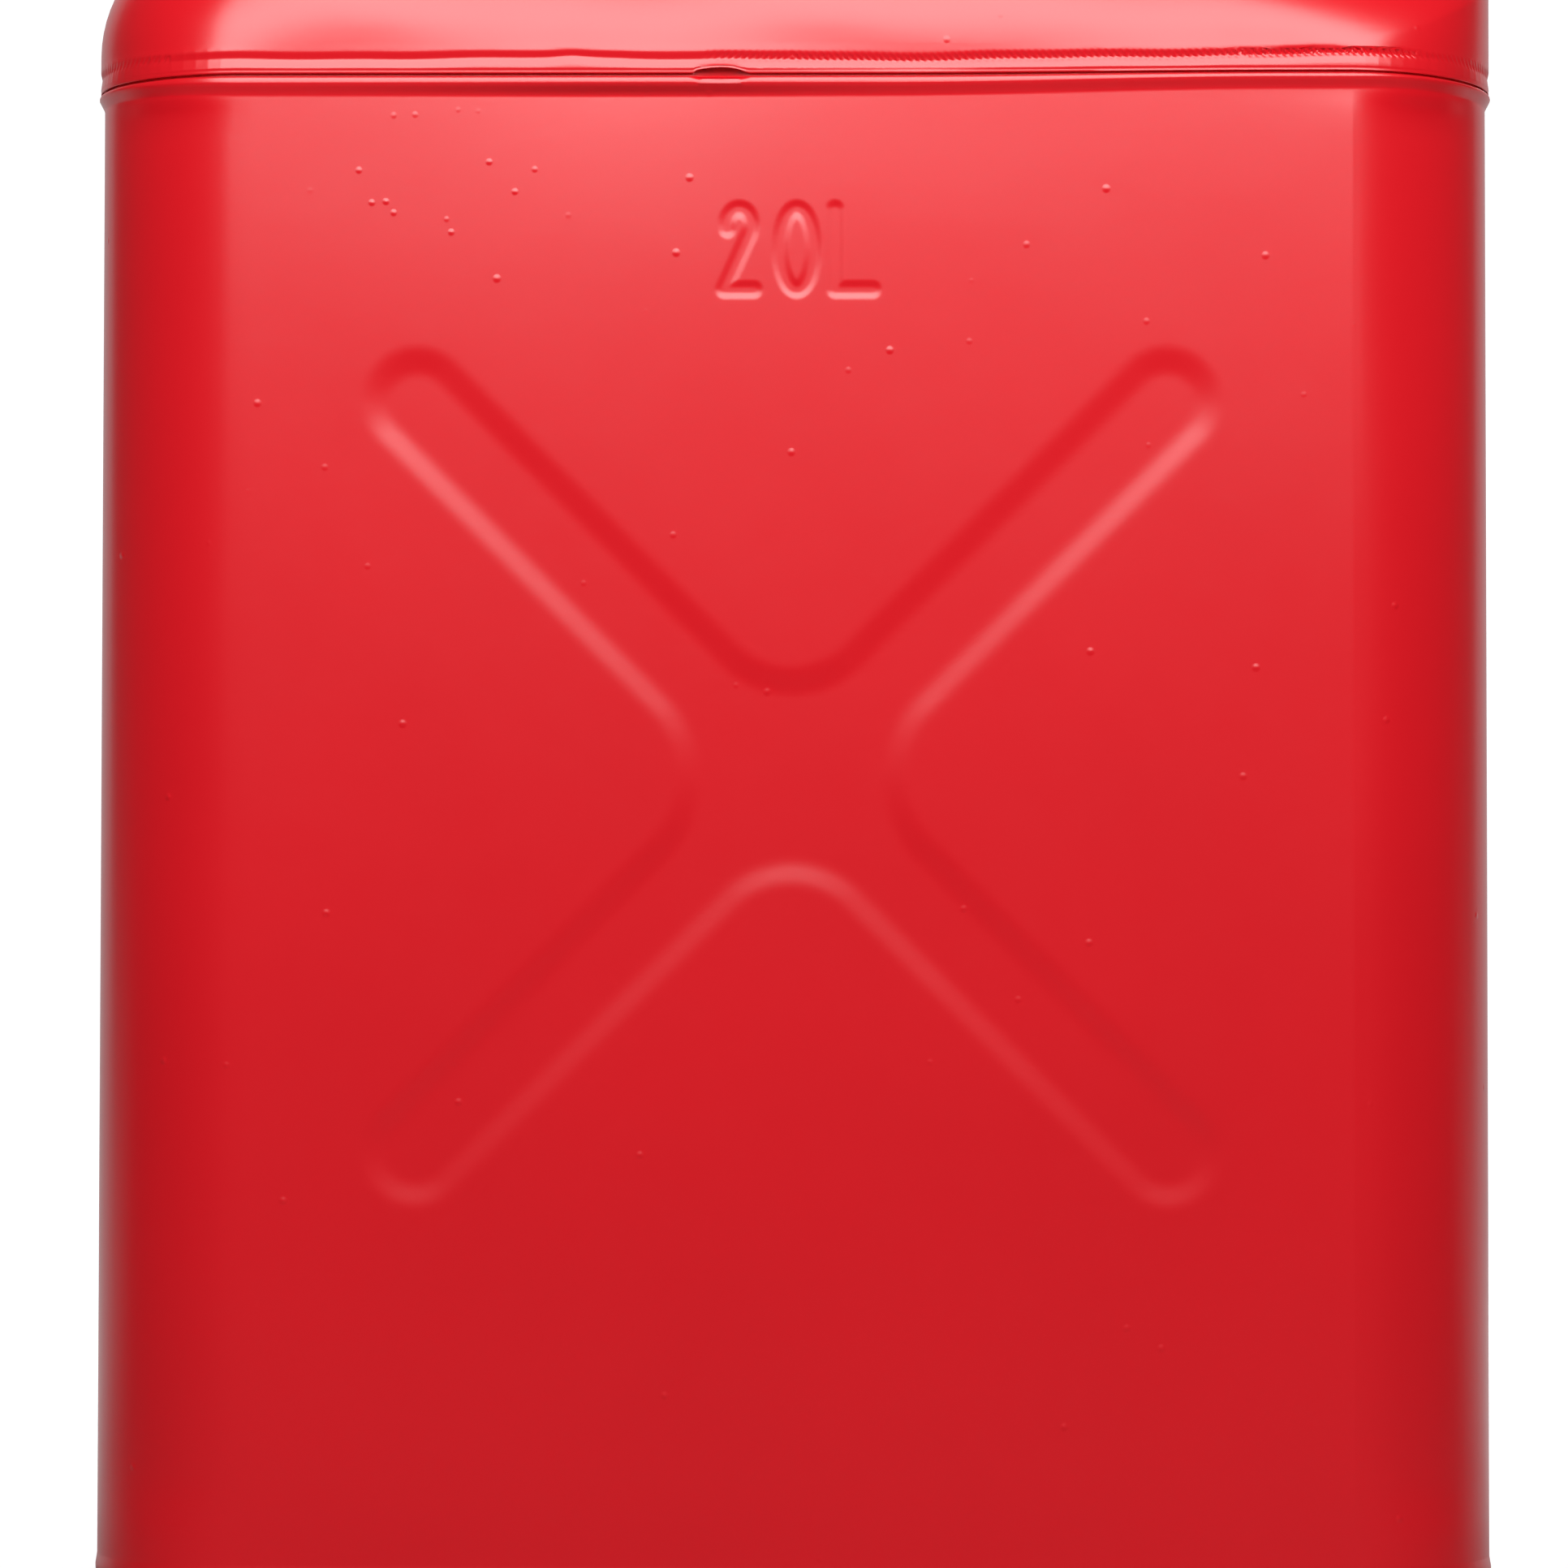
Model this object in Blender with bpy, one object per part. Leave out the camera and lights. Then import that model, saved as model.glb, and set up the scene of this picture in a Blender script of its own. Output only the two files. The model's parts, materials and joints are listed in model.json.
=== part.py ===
"""Twenty-litre steel fuel can with three carrying handles and a cam-lever mouth.

Units are metres and +Z is up. The origin is the middle of the footprint, on the floor. The broad
faces look along -Y and +Y, and the mouth is at the +X end. The closure is modelled in its own
frame, an empty in the middle of the mouth, whose Z is the mouth's axis and whose X runs down the
slope towards the can's end.
"""

import math

import bmesh
import bpy
from mathutils import Matrix, Vector

# Clearances
SEAT_GAP = 0.0003
RUNNING_GAP = 0.0006

# Overall size of the can
CAN_LENGTH = 0.3450
CAN_WIDTH = 0.1650
CAN_HEIGHT = 0.4700
SHEET = 0.0010

# Body tube and its two rolled beads
CORNER_RADIUS = 0.0360
BEAD_PROJECTION = 0.0013
BEAD_HEIGHT = 0.0046
BOTTOM_SEAM_HEIGHT = 0.0137
LAP_HEIGHT = 0.0055

# Cross pressed into both broad faces
CROSS_DROP = 0.1700
CROSS_REACH = 0.1280
CROSS_DEPTH = 0.0015
CROSS_FLOOR_WIDTH = 0.0131
CROSS_WALL_RUN = 0.0074
CROSS_FILLET_UPRIGHT = 0.0210
CROSS_FILLET_LEVEL = 0.0250

# Top cover, with its heights above the top seam
CROWN_RISE = 0.0560
SHOULDER_RISE = 0.0080
MOUTH_END_WALL_RISE = 0.0250
SHOULDER_FAR_END = 0.0600
SHOULDER_MOUTH_END = 0.0090
SHOULDER_SIDE = 0.0350
CROWN_CORNER_RADIUS = 0.0250
MOUTH_TILT = math.radians(14.0)
MOUTH_INSET = 0.0542
CROWN_BEND_HALF = 0.0050

# Bottom pan
PAN_RADIUS = 0.0080
STANDING_RING_WIDTH = 0.0140
PANEL_RISE = 0.0050
PANEL_SLOPE_RUN = 0.0080

# Handles
HANDLE_RISE = 0.0360
HANDLE_WIDTH = 0.0180
HANDLE_DEPTH = 0.0085
HANDLE_SHEET = 0.0014
HANDLE_LIP = 0.0030
HANDLE_EDGE_RADIUS = 0.0030
HANDLE_BEND_RADIUS = 0.0200
HANDLE_FAR_MARGIN = 0.0020
HANDLE_MOUTH_MARGIN = 0.0140

# Filler neck
BORE_RADIUS = 0.0245
NECK_WALL = 0.0012
NECK_HEIGHT = 0.0200
NECK_LIP_WIDTH = 0.0035
NECK_LIP_HEIGHT = 0.0036
NECK_FLANGE_WIDTH = 0.0038
NECK_FLANGE_SHEET = 0.0012
SPIGOT_DEPTH = 0.0080

# Breather tube
BREATHER_RADIUS = 0.0035
BREATHER_WALL = 0.0007
BREATHER_TOP = 0.0140
BREATHER_DROP = 0.0150
BREATHER_BEND = 0.0140
BREATHER_RUN = 0.0220

# Lid
LID_SHEET = 0.0012
LID_SKIRT_HEIGHT = 0.0098
LID_SKIRT_GAP = 0.0010
LID_EDGE_RADIUS = 0.0030
LID_BOSS_RADIUS = 0.0178
LID_BOSS_RISE = 0.0015
GASKET_HEIGHT = 0.0030
GASKET_WIDTH = 0.0062
RIVET_RADIUS = 0.0030
RIVET_HEAD_RADIUS = 0.0060
RIVET_HEAD_HEIGHT = 0.0022

# Yoke and hinge
YOKE_HALF_WIDTH = 0.0120
YOKE_SHEET = 0.0020
YOKE_FRONT = 0.0240
YOKE_REAR_SETBACK = 0.0027
YOKE_EAR_SHEET = 0.0020
PIN_RADIUS = 0.0025
PIN_HEAD_RADIUS = 0.0038
PIN_HEAD_HEIGHT = 0.0015
HINGE_SETBACK = 0.0068
HINGE_HEIGHT = 0.0170

# Bracket and catch studs
BRACKET_SHEET = 0.0020
BRACKET_REAR_MARGIN = 0.0060
BRACKET_EAR_MARGIN = 0.0055
CHEEK_GAP = 0.0010
CHEEK_TOP_MARGIN = 0.0055
CHEEK_END_MARGIN = 0.0065
CATCH_HEIGHT = 0.0110
STUD_RADIUS = 0.0030
STUD_HEAD_RADIUS = 0.0045
STUD_HEAD_HEIGHT = 0.0020

# Cam lever
LEVER_SHEET = 0.0020
LEVER_PIVOT_SETBACK = 0.0122
LEVER_PIVOT_GAP = 0.0010
LEVER_BOSS_RADIUS = 0.0065
LEVER_WEB_GAP = 0.0028
LEVER_WEB_BOTTOM = 0.0110
LEVER_WEB_TOP = 0.0270
LEVER_BEND_RADIUS = 0.0040
LEVER_FOOT = 0.0030
HOOK_JAW_LENGTH = 0.0065
HOOK_CLEARANCE = 0.0005
HOOK_FLARE = 0.0012
TAB_REACH = 0.0150
TAB_HALF_WIDTH = 0.0160
TAB_RISE = 0.0035
LEVER_SWING = math.radians(92.0)
LID_SWING = math.radians(110.0)

# Lock pin
LOCK_RADIUS = 0.0020
LOCK_SETBACK = 0.0090
LOCK_HEIGHT = 0.0110
LOCK_TRAVEL = 0.0050
LOCK_GUIDE_WALL = 0.0024
LOCK_GUIDE_LENGTH = 0.0054
LOCK_TIP_SETBACK = 0.0008
LOCK_KNOB_RADIUS = 0.0045
LOCK_KNOB_LENGTH = 0.0040

# Facets
CORNER_STEPS = 6
SHOULDER_STEPS = 6
ROUND_STEPS = 32
PIN_STEPS = 20

# Sizes worked out from the ones above
face_half_length = CAN_LENGTH / 2 - BEAD_PROJECTION
face_half_width = CAN_WIDTH / 2 - BEAD_PROJECTION
cover_half_length = face_half_length + SHEET
cover_half_width = face_half_width + SHEET
crown_half_width = cover_half_width - SHOULDER_SIDE
crown_level = CAN_HEIGHT - HANDLE_RISE
top_seam = crown_level - CROWN_RISE
shoulder_start = top_seam + SHOULDER_RISE
mouth_end_wall_top = top_seam + MOUTH_END_WALL_RISE
tilt_slope = math.tan(MOUTH_TILT)

neck_radius = BORE_RADIUS + NECK_WALL
lip_radius = BORE_RADIUS + NECK_LIP_WIDTH
flange_radius = neck_radius + NECK_FLANGE_WIDTH
flange_top = SEAT_GAP + NECK_FLANGE_SHEET

lid_inner_radius = lip_radius + LID_SKIRT_GAP
lid_radius = lid_inner_radius + LID_SHEET
gasket_bottom = NECK_HEIGHT + SEAT_GAP
lid_underside = gasket_bottom + GASKET_HEIGHT + SEAT_GAP
lid_top = lid_underside + LID_SHEET
boss_top = lid_top + LID_BOSS_RISE
yoke_bottom = boss_top + SEAT_GAP
yoke_top = yoke_bottom + YOKE_SHEET

pin_hole_radius = PIN_RADIUS + SEAT_GAP
eye_radius = pin_hole_radius + YOKE_SHEET
hinge = Vector((-(lid_radius + HINGE_SETBACK), 0.0, HINGE_HEIGHT))
pivot = Vector((lid_radius - LEVER_PIVOT_SETBACK, 0.0, yoke_top + LEVER_PIVOT_GAP + PIN_RADIUS))

# The catch stands right under the point that the lever first turns about, so that the hook
# leaves it along the slope while the lid starts to rise.
swing_ratio = LID_SWING / LEVER_SWING
catch_x = (swing_ratio * hinge.x + pivot.x) / (1 + swing_ratio)
catch = Vector((catch_x, 0.0, CATCH_HEIGHT))

plate_bottom = SEAT_GAP
plate_top = plate_bottom + BRACKET_SHEET
cheek_inside = lid_radius + CHEEK_GAP
cheek_outside = cheek_inside + BRACKET_SHEET
arm_inside = cheek_outside + RUNNING_GAP
arm_outside = arm_inside + LEVER_SHEET
web_inside = lid_radius + LEVER_WEB_GAP
web_outside = web_inside + LEVER_SHEET
lock = Vector((web_inside - LOCK_SETBACK, 0.0, LOCK_HEIGHT))
bracket_rear = hinge.x - BRACKET_REAR_MARGIN
ear_inside = YOKE_HALF_WIDTH + RUNNING_GAP
ear_outside = ear_inside + BRACKET_SHEET

mouth_x = cover_half_length - MOUTH_INSET
slope_start = mouth_x + bracket_rear * math.cos(MOUTH_TILT) - CROWN_BEND_HALF


def surface(name, colour, roughness, metallic):
    """Material with the finish of one piece."""
    material = bpy.data.materials.new(name)
    material.use_nodes = True
    shader = material.node_tree.nodes["Principled BSDF"]
    shader.inputs["Base Color"].default_value = (*colour, 1.0)
    shader.inputs["Roughness"].default_value = roughness
    shader.inputs["Metallic"].default_value = metallic
    return material


def red_paint(name):
    """The can's red enamel."""
    return surface(name + "_paint", (0.62, 0.02, 0.025), 0.35, 0.0)


def zinc(name):
    """Plated steel of the pins, studs and rivet."""
    return surface(name + "_zinc", (0.55, 0.55, 0.53), 0.35, 1.0)


def empty(name, location, parent=None, tilt=0.0):
    """Frame that carries pieces: a joint's axis or the middle of the mouth."""
    frame = bpy.data.objects.new(name, None)
    bpy.context.scene.collection.objects.link(frame)
    frame.location = location
    frame.rotation_euler = (0.0, tilt, 0.0)
    frame.parent = parent
    return frame


def piece(name, shape, material=None, parent=None, origin=(0.0, 0.0, 0.0), smooth=True):
    """Object made of a finished shape, with its origin moved to a point of its parent's frame."""
    bmesh.ops.recalc_face_normals(shape, faces=shape.faces)
    bmesh.ops.translate(shape, verts=shape.verts, vec=-Vector(origin))
    mesh = bpy.data.meshes.new(name)
    shape.to_mesh(mesh)
    shape.free()
    if smooth:
        mesh.shade_smooth()
        mesh.set_sharp_from_angle(angle=math.radians(32.0))
    made = bpy.data.objects.new(name, mesh)
    bpy.context.scene.collection.objects.link(made)
    made.parent = parent
    if material:
        mesh.materials.append(material)
    return made


def guide(name, shape, parent=None, origin=(0.0, 0.0, 0.0)):
    """Shape that only cuts or joins another piece."""
    made = piece(name, shape, None, parent, origin, smooth=False)
    made.hide_render = True
    made.display_type = "WIRE"
    return made


def combine(target, other, operation):
    """Boolean of a piece with a guide shape."""
    modifier = target.modifiers.new(other.name, "BOOLEAN")
    modifier.operation = operation
    modifier.object = other


def arc(centre, radius, start, end, steps):
    """Points of an arc, from start to end in degrees."""
    points = []
    for step in range(steps + 1):
        angle = math.radians(start + (end - start) * step / steps)
        points.append((centre[0] + radius * math.cos(angle), centre[1] + radius * math.sin(angle)))
    return points


def offset_path(points, distance):
    """Path moved to its left by distance, with mitred corners."""
    moved = []
    last = len(points) - 1
    for index, point in enumerate(points):
        normals = []
        for start in range(max(index - 1, 0), min(index, last - 1) + 1):
            run = Vector(points[start + 1]) - Vector(points[start])
            normals.append(Vector((-run.y, run.x)).normalized())
        mitre = sum(normals, Vector((0.0, 0.0))).normalized()
        moved.append(tuple(Vector(point) + mitre * distance / mitre.dot(normals[0])))
    return moved


def wall_loop(points, thickness):
    """Closed outline of a sheet whose outer side follows points and whose metal lies to the left."""
    return list(points) + offset_path(points, thickness)[::-1]


def loft(shape, rings, closed=False):
    """Skin through rings of equal count, and back to the first ring if closed."""
    made = [[shape.verts.new(point) for point in ring] for ring in rings]
    pairs = list(zip(made, made[1:]))
    if closed:
        pairs.append((made[-1], made[0]))
    for lower, upper in pairs:
        for index in range(len(lower)):
            after = (index + 1) % len(lower)
            shape.faces.new((lower[index], lower[after], upper[after], upper[index]))
    return made


def fill_across(shape, ring):
    """Faces across a ring that is its own mirror image in Y, as strips from side to side."""
    count = len(ring)
    for index in range(count // 2 - 1):
        shape.faces.new((ring[index], ring[index + 1], ring[count - 2 - index], ring[count - 1 - index]))


def lathe(shape, profile, frame=Matrix(), steps=ROUND_STEPS, ring=False):
    """Turned shape from radius and height pairs about the frame's Z: a ring, or a capped solid."""
    circles = []
    for radius, height in profile:
        plan = arc((0.0, 0.0), radius, 0.0, 360.0, steps)[:-1]
        circles.append([frame @ Vector((x, y, height)) for x, y in plan])
    made = loft(shape, circles, closed=ring)
    if not ring:
        shape.faces.new(made[0])
        shape.faces.new(made[-1])


def across(centre):
    """Frame whose Z lies along +Y, through a point of the XZ plane."""
    return Matrix.Translation((centre.x, 0.0, centre.z)) @ Matrix.Rotation(math.radians(-90.0), 4, "X")


def side_plate(shape, outline, low, high):
    """Plate with its outline in the XZ plane, from low to high along Y."""
    made = loft(shape, [[(x, low, z) for x, z in outline], [(x, high, z) for x, z in outline]])
    shape.faces.new(made[0])
    shape.faces.new(made[1])


def plan_plate(shape, outline, low, high):
    """Plate with its outline in the XY plane, from low to high along Z."""
    made = loft(shape, [[(x, y, low) for x, y in outline], [(x, y, high) for x, y in outline]])
    shape.faces.new(made[0])
    shape.faces.new(made[1])


def rounded_plan(x_low, x_high, half_y, radius, stations=()):
    """Rounded rectangle, anticlockwise from +X, with points at given places along both sides.

    Each entry is x, y and the outward normal's x.
    """
    plan = []
    for start in (0, 90, 180, 270):
        centre_x = x_high - radius if start in (0, 270) else x_low + radius
        centre_y = half_y - radius if start in (0, 90) else radius - half_y
        corner = arc((centre_x, centre_y), radius, start, start + 90, CORNER_STEPS)
        plan += [(x, y, (x - centre_x) / radius) for x, y in corner]
        if start == 0:
            plan += [(x, half_y, 0.0) for x in reversed(stations)]
        if start == 180:
            plan += [(x, -half_y, 0.0) for x in stations]
    return plan


def body_ring(offset, height):
    """Ring round the body, an offset outside its flat faces."""
    half_x = face_half_length + offset
    plan = rounded_plan(-half_x, half_x, face_half_width + offset, CORNER_RADIUS + offset)
    return [(x, y, height) for x, y, _ in plan]


def bead_profile(low):
    """Offsets and heights of one rolled bead, upwards."""
    points = []
    for step in range(5):
        share = step / 4
        points.append((BEAD_PROJECTION * math.sin(math.pi * share), low + BEAD_HEIGHT * share))
    return points


def body_profile():
    """Outer side of the body tube, upwards: lap, bead, flat face, bead, lap."""
    lower_lap = [(-SEAT_GAP, BOTTOM_SEAM_HEIGHT - LAP_HEIGHT), (-SEAT_GAP, BOTTOM_SEAM_HEIGHT)]
    upper_lap = [(-SEAT_GAP, top_seam), (-SEAT_GAP, top_seam + LAP_HEIGHT)]
    lower_bead = bead_profile(BOTTOM_SEAM_HEIGHT + SEAT_GAP)
    upper_bead = bead_profile(top_seam - SEAT_GAP - BEAD_HEIGHT)
    return lower_lap + lower_bead + upper_bead + upper_lap


def cross_outline(half_width):
    """Outline of the pressed cross about its middle: four arms with round ends and filleted crotches."""
    wall_middle = (CROSS_FLOOR_WIDTH + CROSS_WALL_RUN) / 2
    outline = []
    for arm, fillet in enumerate((CROSS_FILLET_UPRIGHT, CROSS_FILLET_LEVEL) * 2):
        turn = 45 + 90 * arm
        middle = math.radians(turn)
        end = (CROSS_REACH * math.cos(middle), CROSS_REACH * math.sin(middle))
        outline += arc(end, half_width, turn - 90, turn + 90, 6)
        bisector = math.radians(turn + 45)
        distance = (wall_middle + fillet) * math.sqrt(2)
        centre = (distance * math.cos(bisector), distance * math.sin(bisector))
        outline += arc(centre, fillet + wall_middle - half_width, turn - 90, turn - 180, 4)
    return outline


def cross_levels(skin):
    """Half width and depth of the cross's wall from rim to floor, for the skin that far inside."""
    levels = []
    steps = 3
    for step in range(steps + 1):
        share = step / steps
        half_width = CROSS_FLOOR_WIDTH / 2 + CROSS_WALL_RUN * (1 - share)
        depth = CROSS_DEPTH * (1 - math.cos(math.pi * share)) / 2
        fall = Vector((CROSS_DEPTH * math.pi / 2 * math.sin(math.pi * share), CROSS_WALL_RUN)).normalized()
        levels.append((half_width + skin * fall.x, depth + skin * fall.y))
    return levels


def cross_press(name, skin):
    """Pair of solids in the form of the press tool's cross, one at each broad face."""
    centre_height = top_seam - CROSS_DROP
    levels = cross_levels(skin)
    levels.insert(0, (levels[0][0], levels[0][1] - 2 * BEAD_PROJECTION))
    shape = bmesh.new()
    for side in (-1, 1):
        rings = []
        for half_width, depth in levels:
            y = side * (face_half_width - depth)
            rings.append([(x, y, centre_height + z) for x, z in cross_outline(half_width)])
        made = loft(shape, rings)
        shape.faces.new(made[0])
        shape.faces.new(made[-1])
    return guide(name, shape)


def make_body_shell():
    """Wrapped and welded body tube, open at both ends, with both crosses pressed into its sheet."""
    profile = body_profile()
    solid = bmesh.new()
    made = loft(solid, [body_ring(offset, height) for offset, height in profile])
    fill_across(solid, made[0])
    fill_across(solid, made[-1])
    shell = piece("body_shell", solid, red_paint("body_shell"))

    inside = offset_path(profile, SHEET)
    inside[0] = (inside[0][0], inside[0][1] - SHEET)
    inside[-1] = (inside[-1][0], inside[-1][1] + SHEET)
    hollow = bmesh.new()
    made = loft(hollow, [body_ring(offset, height) for offset, height in inside])
    fill_across(hollow, made[0])
    fill_across(hollow, made[-1])
    hollow_guide = guide("body_hollow", hollow)
    combine(hollow_guide, cross_press("cross_inside", SHEET), "DIFFERENCE")

    combine(shell, cross_press("cross_outside", 0.0), "DIFFERENCE")
    combine(shell, hollow_guide, "DIFFERENCE")


def crown_height(x):
    """Height of the cover's crown: level, a soft bend, then the slope that carries the mouth."""
    ramp = x - slope_start
    if ramp <= -CROWN_BEND_HALF:
        return crown_level
    if ramp >= CROWN_BEND_HALF:
        return crown_level - ramp * tilt_slope
    return crown_level - tilt_slope * (ramp + CROWN_BEND_HALF) ** 2 / (4 * CROWN_BEND_HALF)


def cover_ring(turn, skin):
    """Ring of the cover's shoulder: turn 0 at its foot, 90 degrees at the crown's edge."""
    inset = 1 - math.cos(turn)
    x_low = -(cover_half_length - skin) + (SHOULDER_FAR_END - skin) * inset
    x_high = cover_half_length - skin - (SHOULDER_MOUTH_END - skin) * inset
    half_y = cover_half_width - skin - (SHOULDER_SIDE - skin) * inset
    foot_radius = CORNER_RADIUS + SHEET - skin
    radius = foot_radius - (foot_radius - CROWN_CORNER_RADIUS + skin) * inset
    bend = [slope_start + CROWN_BEND_HALF * step / 2 for step in (-2, -1, 0, 1, 2)]
    ring = []
    for x, y, normal_x in rounded_plan(x_low, x_high, half_y, radius, bend):
        towards_mouth = max(normal_x, 0.0) ** 2
        foot = shoulder_start + (mouth_end_wall_top - shoulder_start) * towards_mouth
        top = crown_height(x) - skin
        ring.append((x, y, foot + (top - foot) * math.sin(turn)))
    return ring


def cover_skin(shape, skin):
    """One side of the cover's sheet, from the skirt's edge over the shoulders and the crown."""
    turns = [math.radians(90.0) * step / SHOULDER_STEPS for step in range(SHOULDER_STEPS + 1)]
    rings = [cover_ring(turn, skin) for turn in turns]
    rings.insert(0, [(x, y, top_seam) for x, y, _ in rings[0]])
    made = loft(shape, rings)
    fill_across(shape, made[-1])
    return made[0]


def make_top_cover(mouth):
    """Drawn top cover whose skirt laps over the body, with the hole that takes the neck."""
    shape = bmesh.new()
    outer = cover_skin(shape, 0.0)
    inner = cover_skin(shape, SHEET)
    for index in range(len(outer)):
        after = (index + 1) % len(outer)
        shape.faces.new((outer[index], outer[after], inner[after], inner[index]))
    cover = piece("top_cover", shape, red_paint("top_cover"))

    hole = bmesh.new()
    hole_radius = neck_radius + SEAT_GAP
    lathe(hole, [(hole_radius, -SPIGOT_DEPTH), (hole_radius, SPIGOT_DEPTH)])
    combine(cover, guide("mouth_hole", hole, mouth), "DIFFERENCE")


def make_bottom_pan():
    """Bottom pan: skirt over the body, rounded edge, standing ring and raised middle panel."""
    ring_edge = SHEET - PAN_RADIUS - STANDING_RING_WIDTH
    profile = [(SHEET, BOTTOM_SEAM_HEIGHT)]
    profile += arc((SHEET - PAN_RADIUS, PAN_RADIUS), PAN_RADIUS, 0.0, -90.0, 4)
    profile += [(ring_edge, 0.0), (ring_edge - PANEL_SLOPE_RUN, PANEL_RISE)]
    inside = offset_path(profile, -SHEET)
    shape = bmesh.new()
    outer = loft(shape, [body_ring(offset, height) for offset, height in profile])
    inner = loft(shape, [body_ring(offset, height) for offset, height in inside])
    fill_across(shape, outer[-1])
    fill_across(shape, inner[-1])
    for index in range(len(outer[0])):
        after = (index + 1) % len(outer[0])
        shape.faces.new((outer[0][index], outer[0][after], inner[0][after], inner[0][index]))
    piece("bottom_pan", shape, red_paint("bottom_pan"))


def handle_section():
    """Section of a handle: channel with rounded edges and lips turned in, as across and out."""
    half = HANDLE_WIDTH / 2
    depth = -HANDLE_DEPTH
    lip = half - HANDLE_LIP - HANDLE_SHEET
    radius = HANDLE_EDGE_RADIUS
    outer = [(lip, depth), (half, depth)]
    outer += arc((half - radius, -radius), radius, 0.0, 90.0, 3)
    outer += arc((radius - half, -radius), radius, 90.0, 180.0, 3)
    outer += [(-half, depth), (-lip, depth)]
    return wall_loop(outer, HANDLE_SHEET)


def turned_arc(centre, radius, start, end, steps):
    """Points of an arc, each with its angle in degrees."""
    turns = [start + (end - start) * step / steps for step in range(steps + 1)]
    return [(x, z, turn) for (x, z), turn in zip(arc(centre, radius, start, end, steps), turns)]


def handle_path():
    """Points of the bar's outer line and its direction, from the far foot to the foot by the mouth."""
    far_end = -cover_half_length + SHOULDER_FAR_END + HANDLE_FAR_MARGIN
    mouth_end = slope_start - CROWN_BEND_HALF - HANDLE_MOUTH_MARGIN
    foot = crown_level + SEAT_GAP
    bend = HANDLE_BEND_RADIUS
    centre_height = CAN_HEIGHT - bend
    path = [(far_end, foot, 180.0)]
    path += turned_arc((far_end + bend, centre_height), bend, 180.0, 90.0, 5)
    path += turned_arc((mouth_end - bend, centre_height), bend, 90.0, 0.0, 5)
    path.append((mouth_end, foot, 0.0))
    return path


def make_handle(name, y):
    """One carrying handle, bent down at both ends and welded to the crown."""
    section = handle_section()
    rings = []
    for x, z, turn in handle_path():
        outward = (math.cos(math.radians(turn)), math.sin(math.radians(turn)))
        rings.append([(x + out * outward[0], y + side, z + out * outward[1]) for side, out in section])
    shape = bmesh.new()
    made = loft(shape, rings)
    shape.faces.new(made[0])
    shape.faces.new(made[-1])
    piece(name, shape, red_paint(name))


def make_filler_neck(mouth):
    """Neck with a spigot through the cover, a flange on it and a rolled lip under the gasket."""
    lip_middle = NECK_HEIGHT - NECK_LIP_HEIGHT / 2
    lip_curve = arc((lip_radius - NECK_LIP_HEIGHT / 2, lip_middle), NECK_LIP_HEIGHT / 2, 90.0, -90.0, 6)
    profile = [(BORE_RADIUS, -SPIGOT_DEPTH), (BORE_RADIUS, NECK_HEIGHT - NECK_WALL / 2)]
    profile += [(BORE_RADIUS + NECK_WALL / 2, NECK_HEIGHT)]
    profile += lip_curve
    profile += [(neck_radius, NECK_HEIGHT - NECK_LIP_HEIGHT - NECK_WALL / 2)]
    profile += [(neck_radius, flange_top + NECK_WALL), (neck_radius + NECK_WALL, flange_top)]
    profile += [(flange_radius, flange_top), (flange_radius, SEAT_GAP)]
    profile += [(neck_radius, SEAT_GAP), (neck_radius, -SPIGOT_DEPTH)]
    shape = bmesh.new()
    lathe(shape, profile, ring=True)
    piece("filler_neck", shape, red_paint("filler_neck"), mouth)


def make_breather_tube(mouth):
    """Air tube brazed inside the neck, which bends back into the air space under the crown."""
    start_x = -(BORE_RADIUS - SEAT_GAP - BREATHER_RADIUS)
    path = [(start_x, BREATHER_TOP, 0.0), (start_x, -BREATHER_DROP, 0.0)]
    centre = (start_x - BREATHER_BEND, -BREATHER_DROP)
    end_turn = 60.0
    path += [(x, z, -turn) for x, z, turn in turned_arc(centre, BREATHER_BEND, 0.0, -end_turn, 5)[1:]]
    last_x, last_z, _ = path[-1]
    run_x = -BREATHER_RUN * math.sin(math.radians(end_turn))
    run_z = -BREATHER_RUN * math.cos(math.radians(end_turn))
    path.append((last_x + run_x, last_z + run_z, end_turn))
    shape = bmesh.new()
    skins = []
    for radius in (BREATHER_RADIUS, BREATHER_RADIUS - BREATHER_WALL):
        rings = []
        for x, z, turn in path:
            frame = Matrix.Translation((x, 0.0, z)) @ Matrix.Rotation(math.radians(turn), 4, "Y")
            rings.append([frame @ Vector((a, b, 0.0)) for a, b in arc((0.0, 0.0), radius, 0, 360, 12)[:-1]])
        skins.append(loft(shape, rings))
    for end in (0, -1):
        outer = skins[0][end]
        inner = skins[1][end]
        for index in range(len(outer)):
            after = (index + 1) % len(outer)
            shape.faces.new((outer[index], outer[after], inner[after], inner[index]))
    piece("breather_tube", shape, zinc("breather_tube"), mouth)


def cheek_outline():
    """Side view of a cheek: wide foot, sloping ends, round the stud and the lock hole."""
    rear = catch.x - CHEEK_END_MARGIN
    front = lock.x + CHEEK_END_MARGIN - BRACKET_SHEET
    top = catch.z + CHEEK_TOP_MARGIN
    lead = BRACKET_SHEET * 2
    return [(rear - lead, plate_bottom), (front + lead, plate_bottom), (front, lock.z + lead),
            (front - lead, top), (rear + lead, top), (rear, catch.z)]


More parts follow.
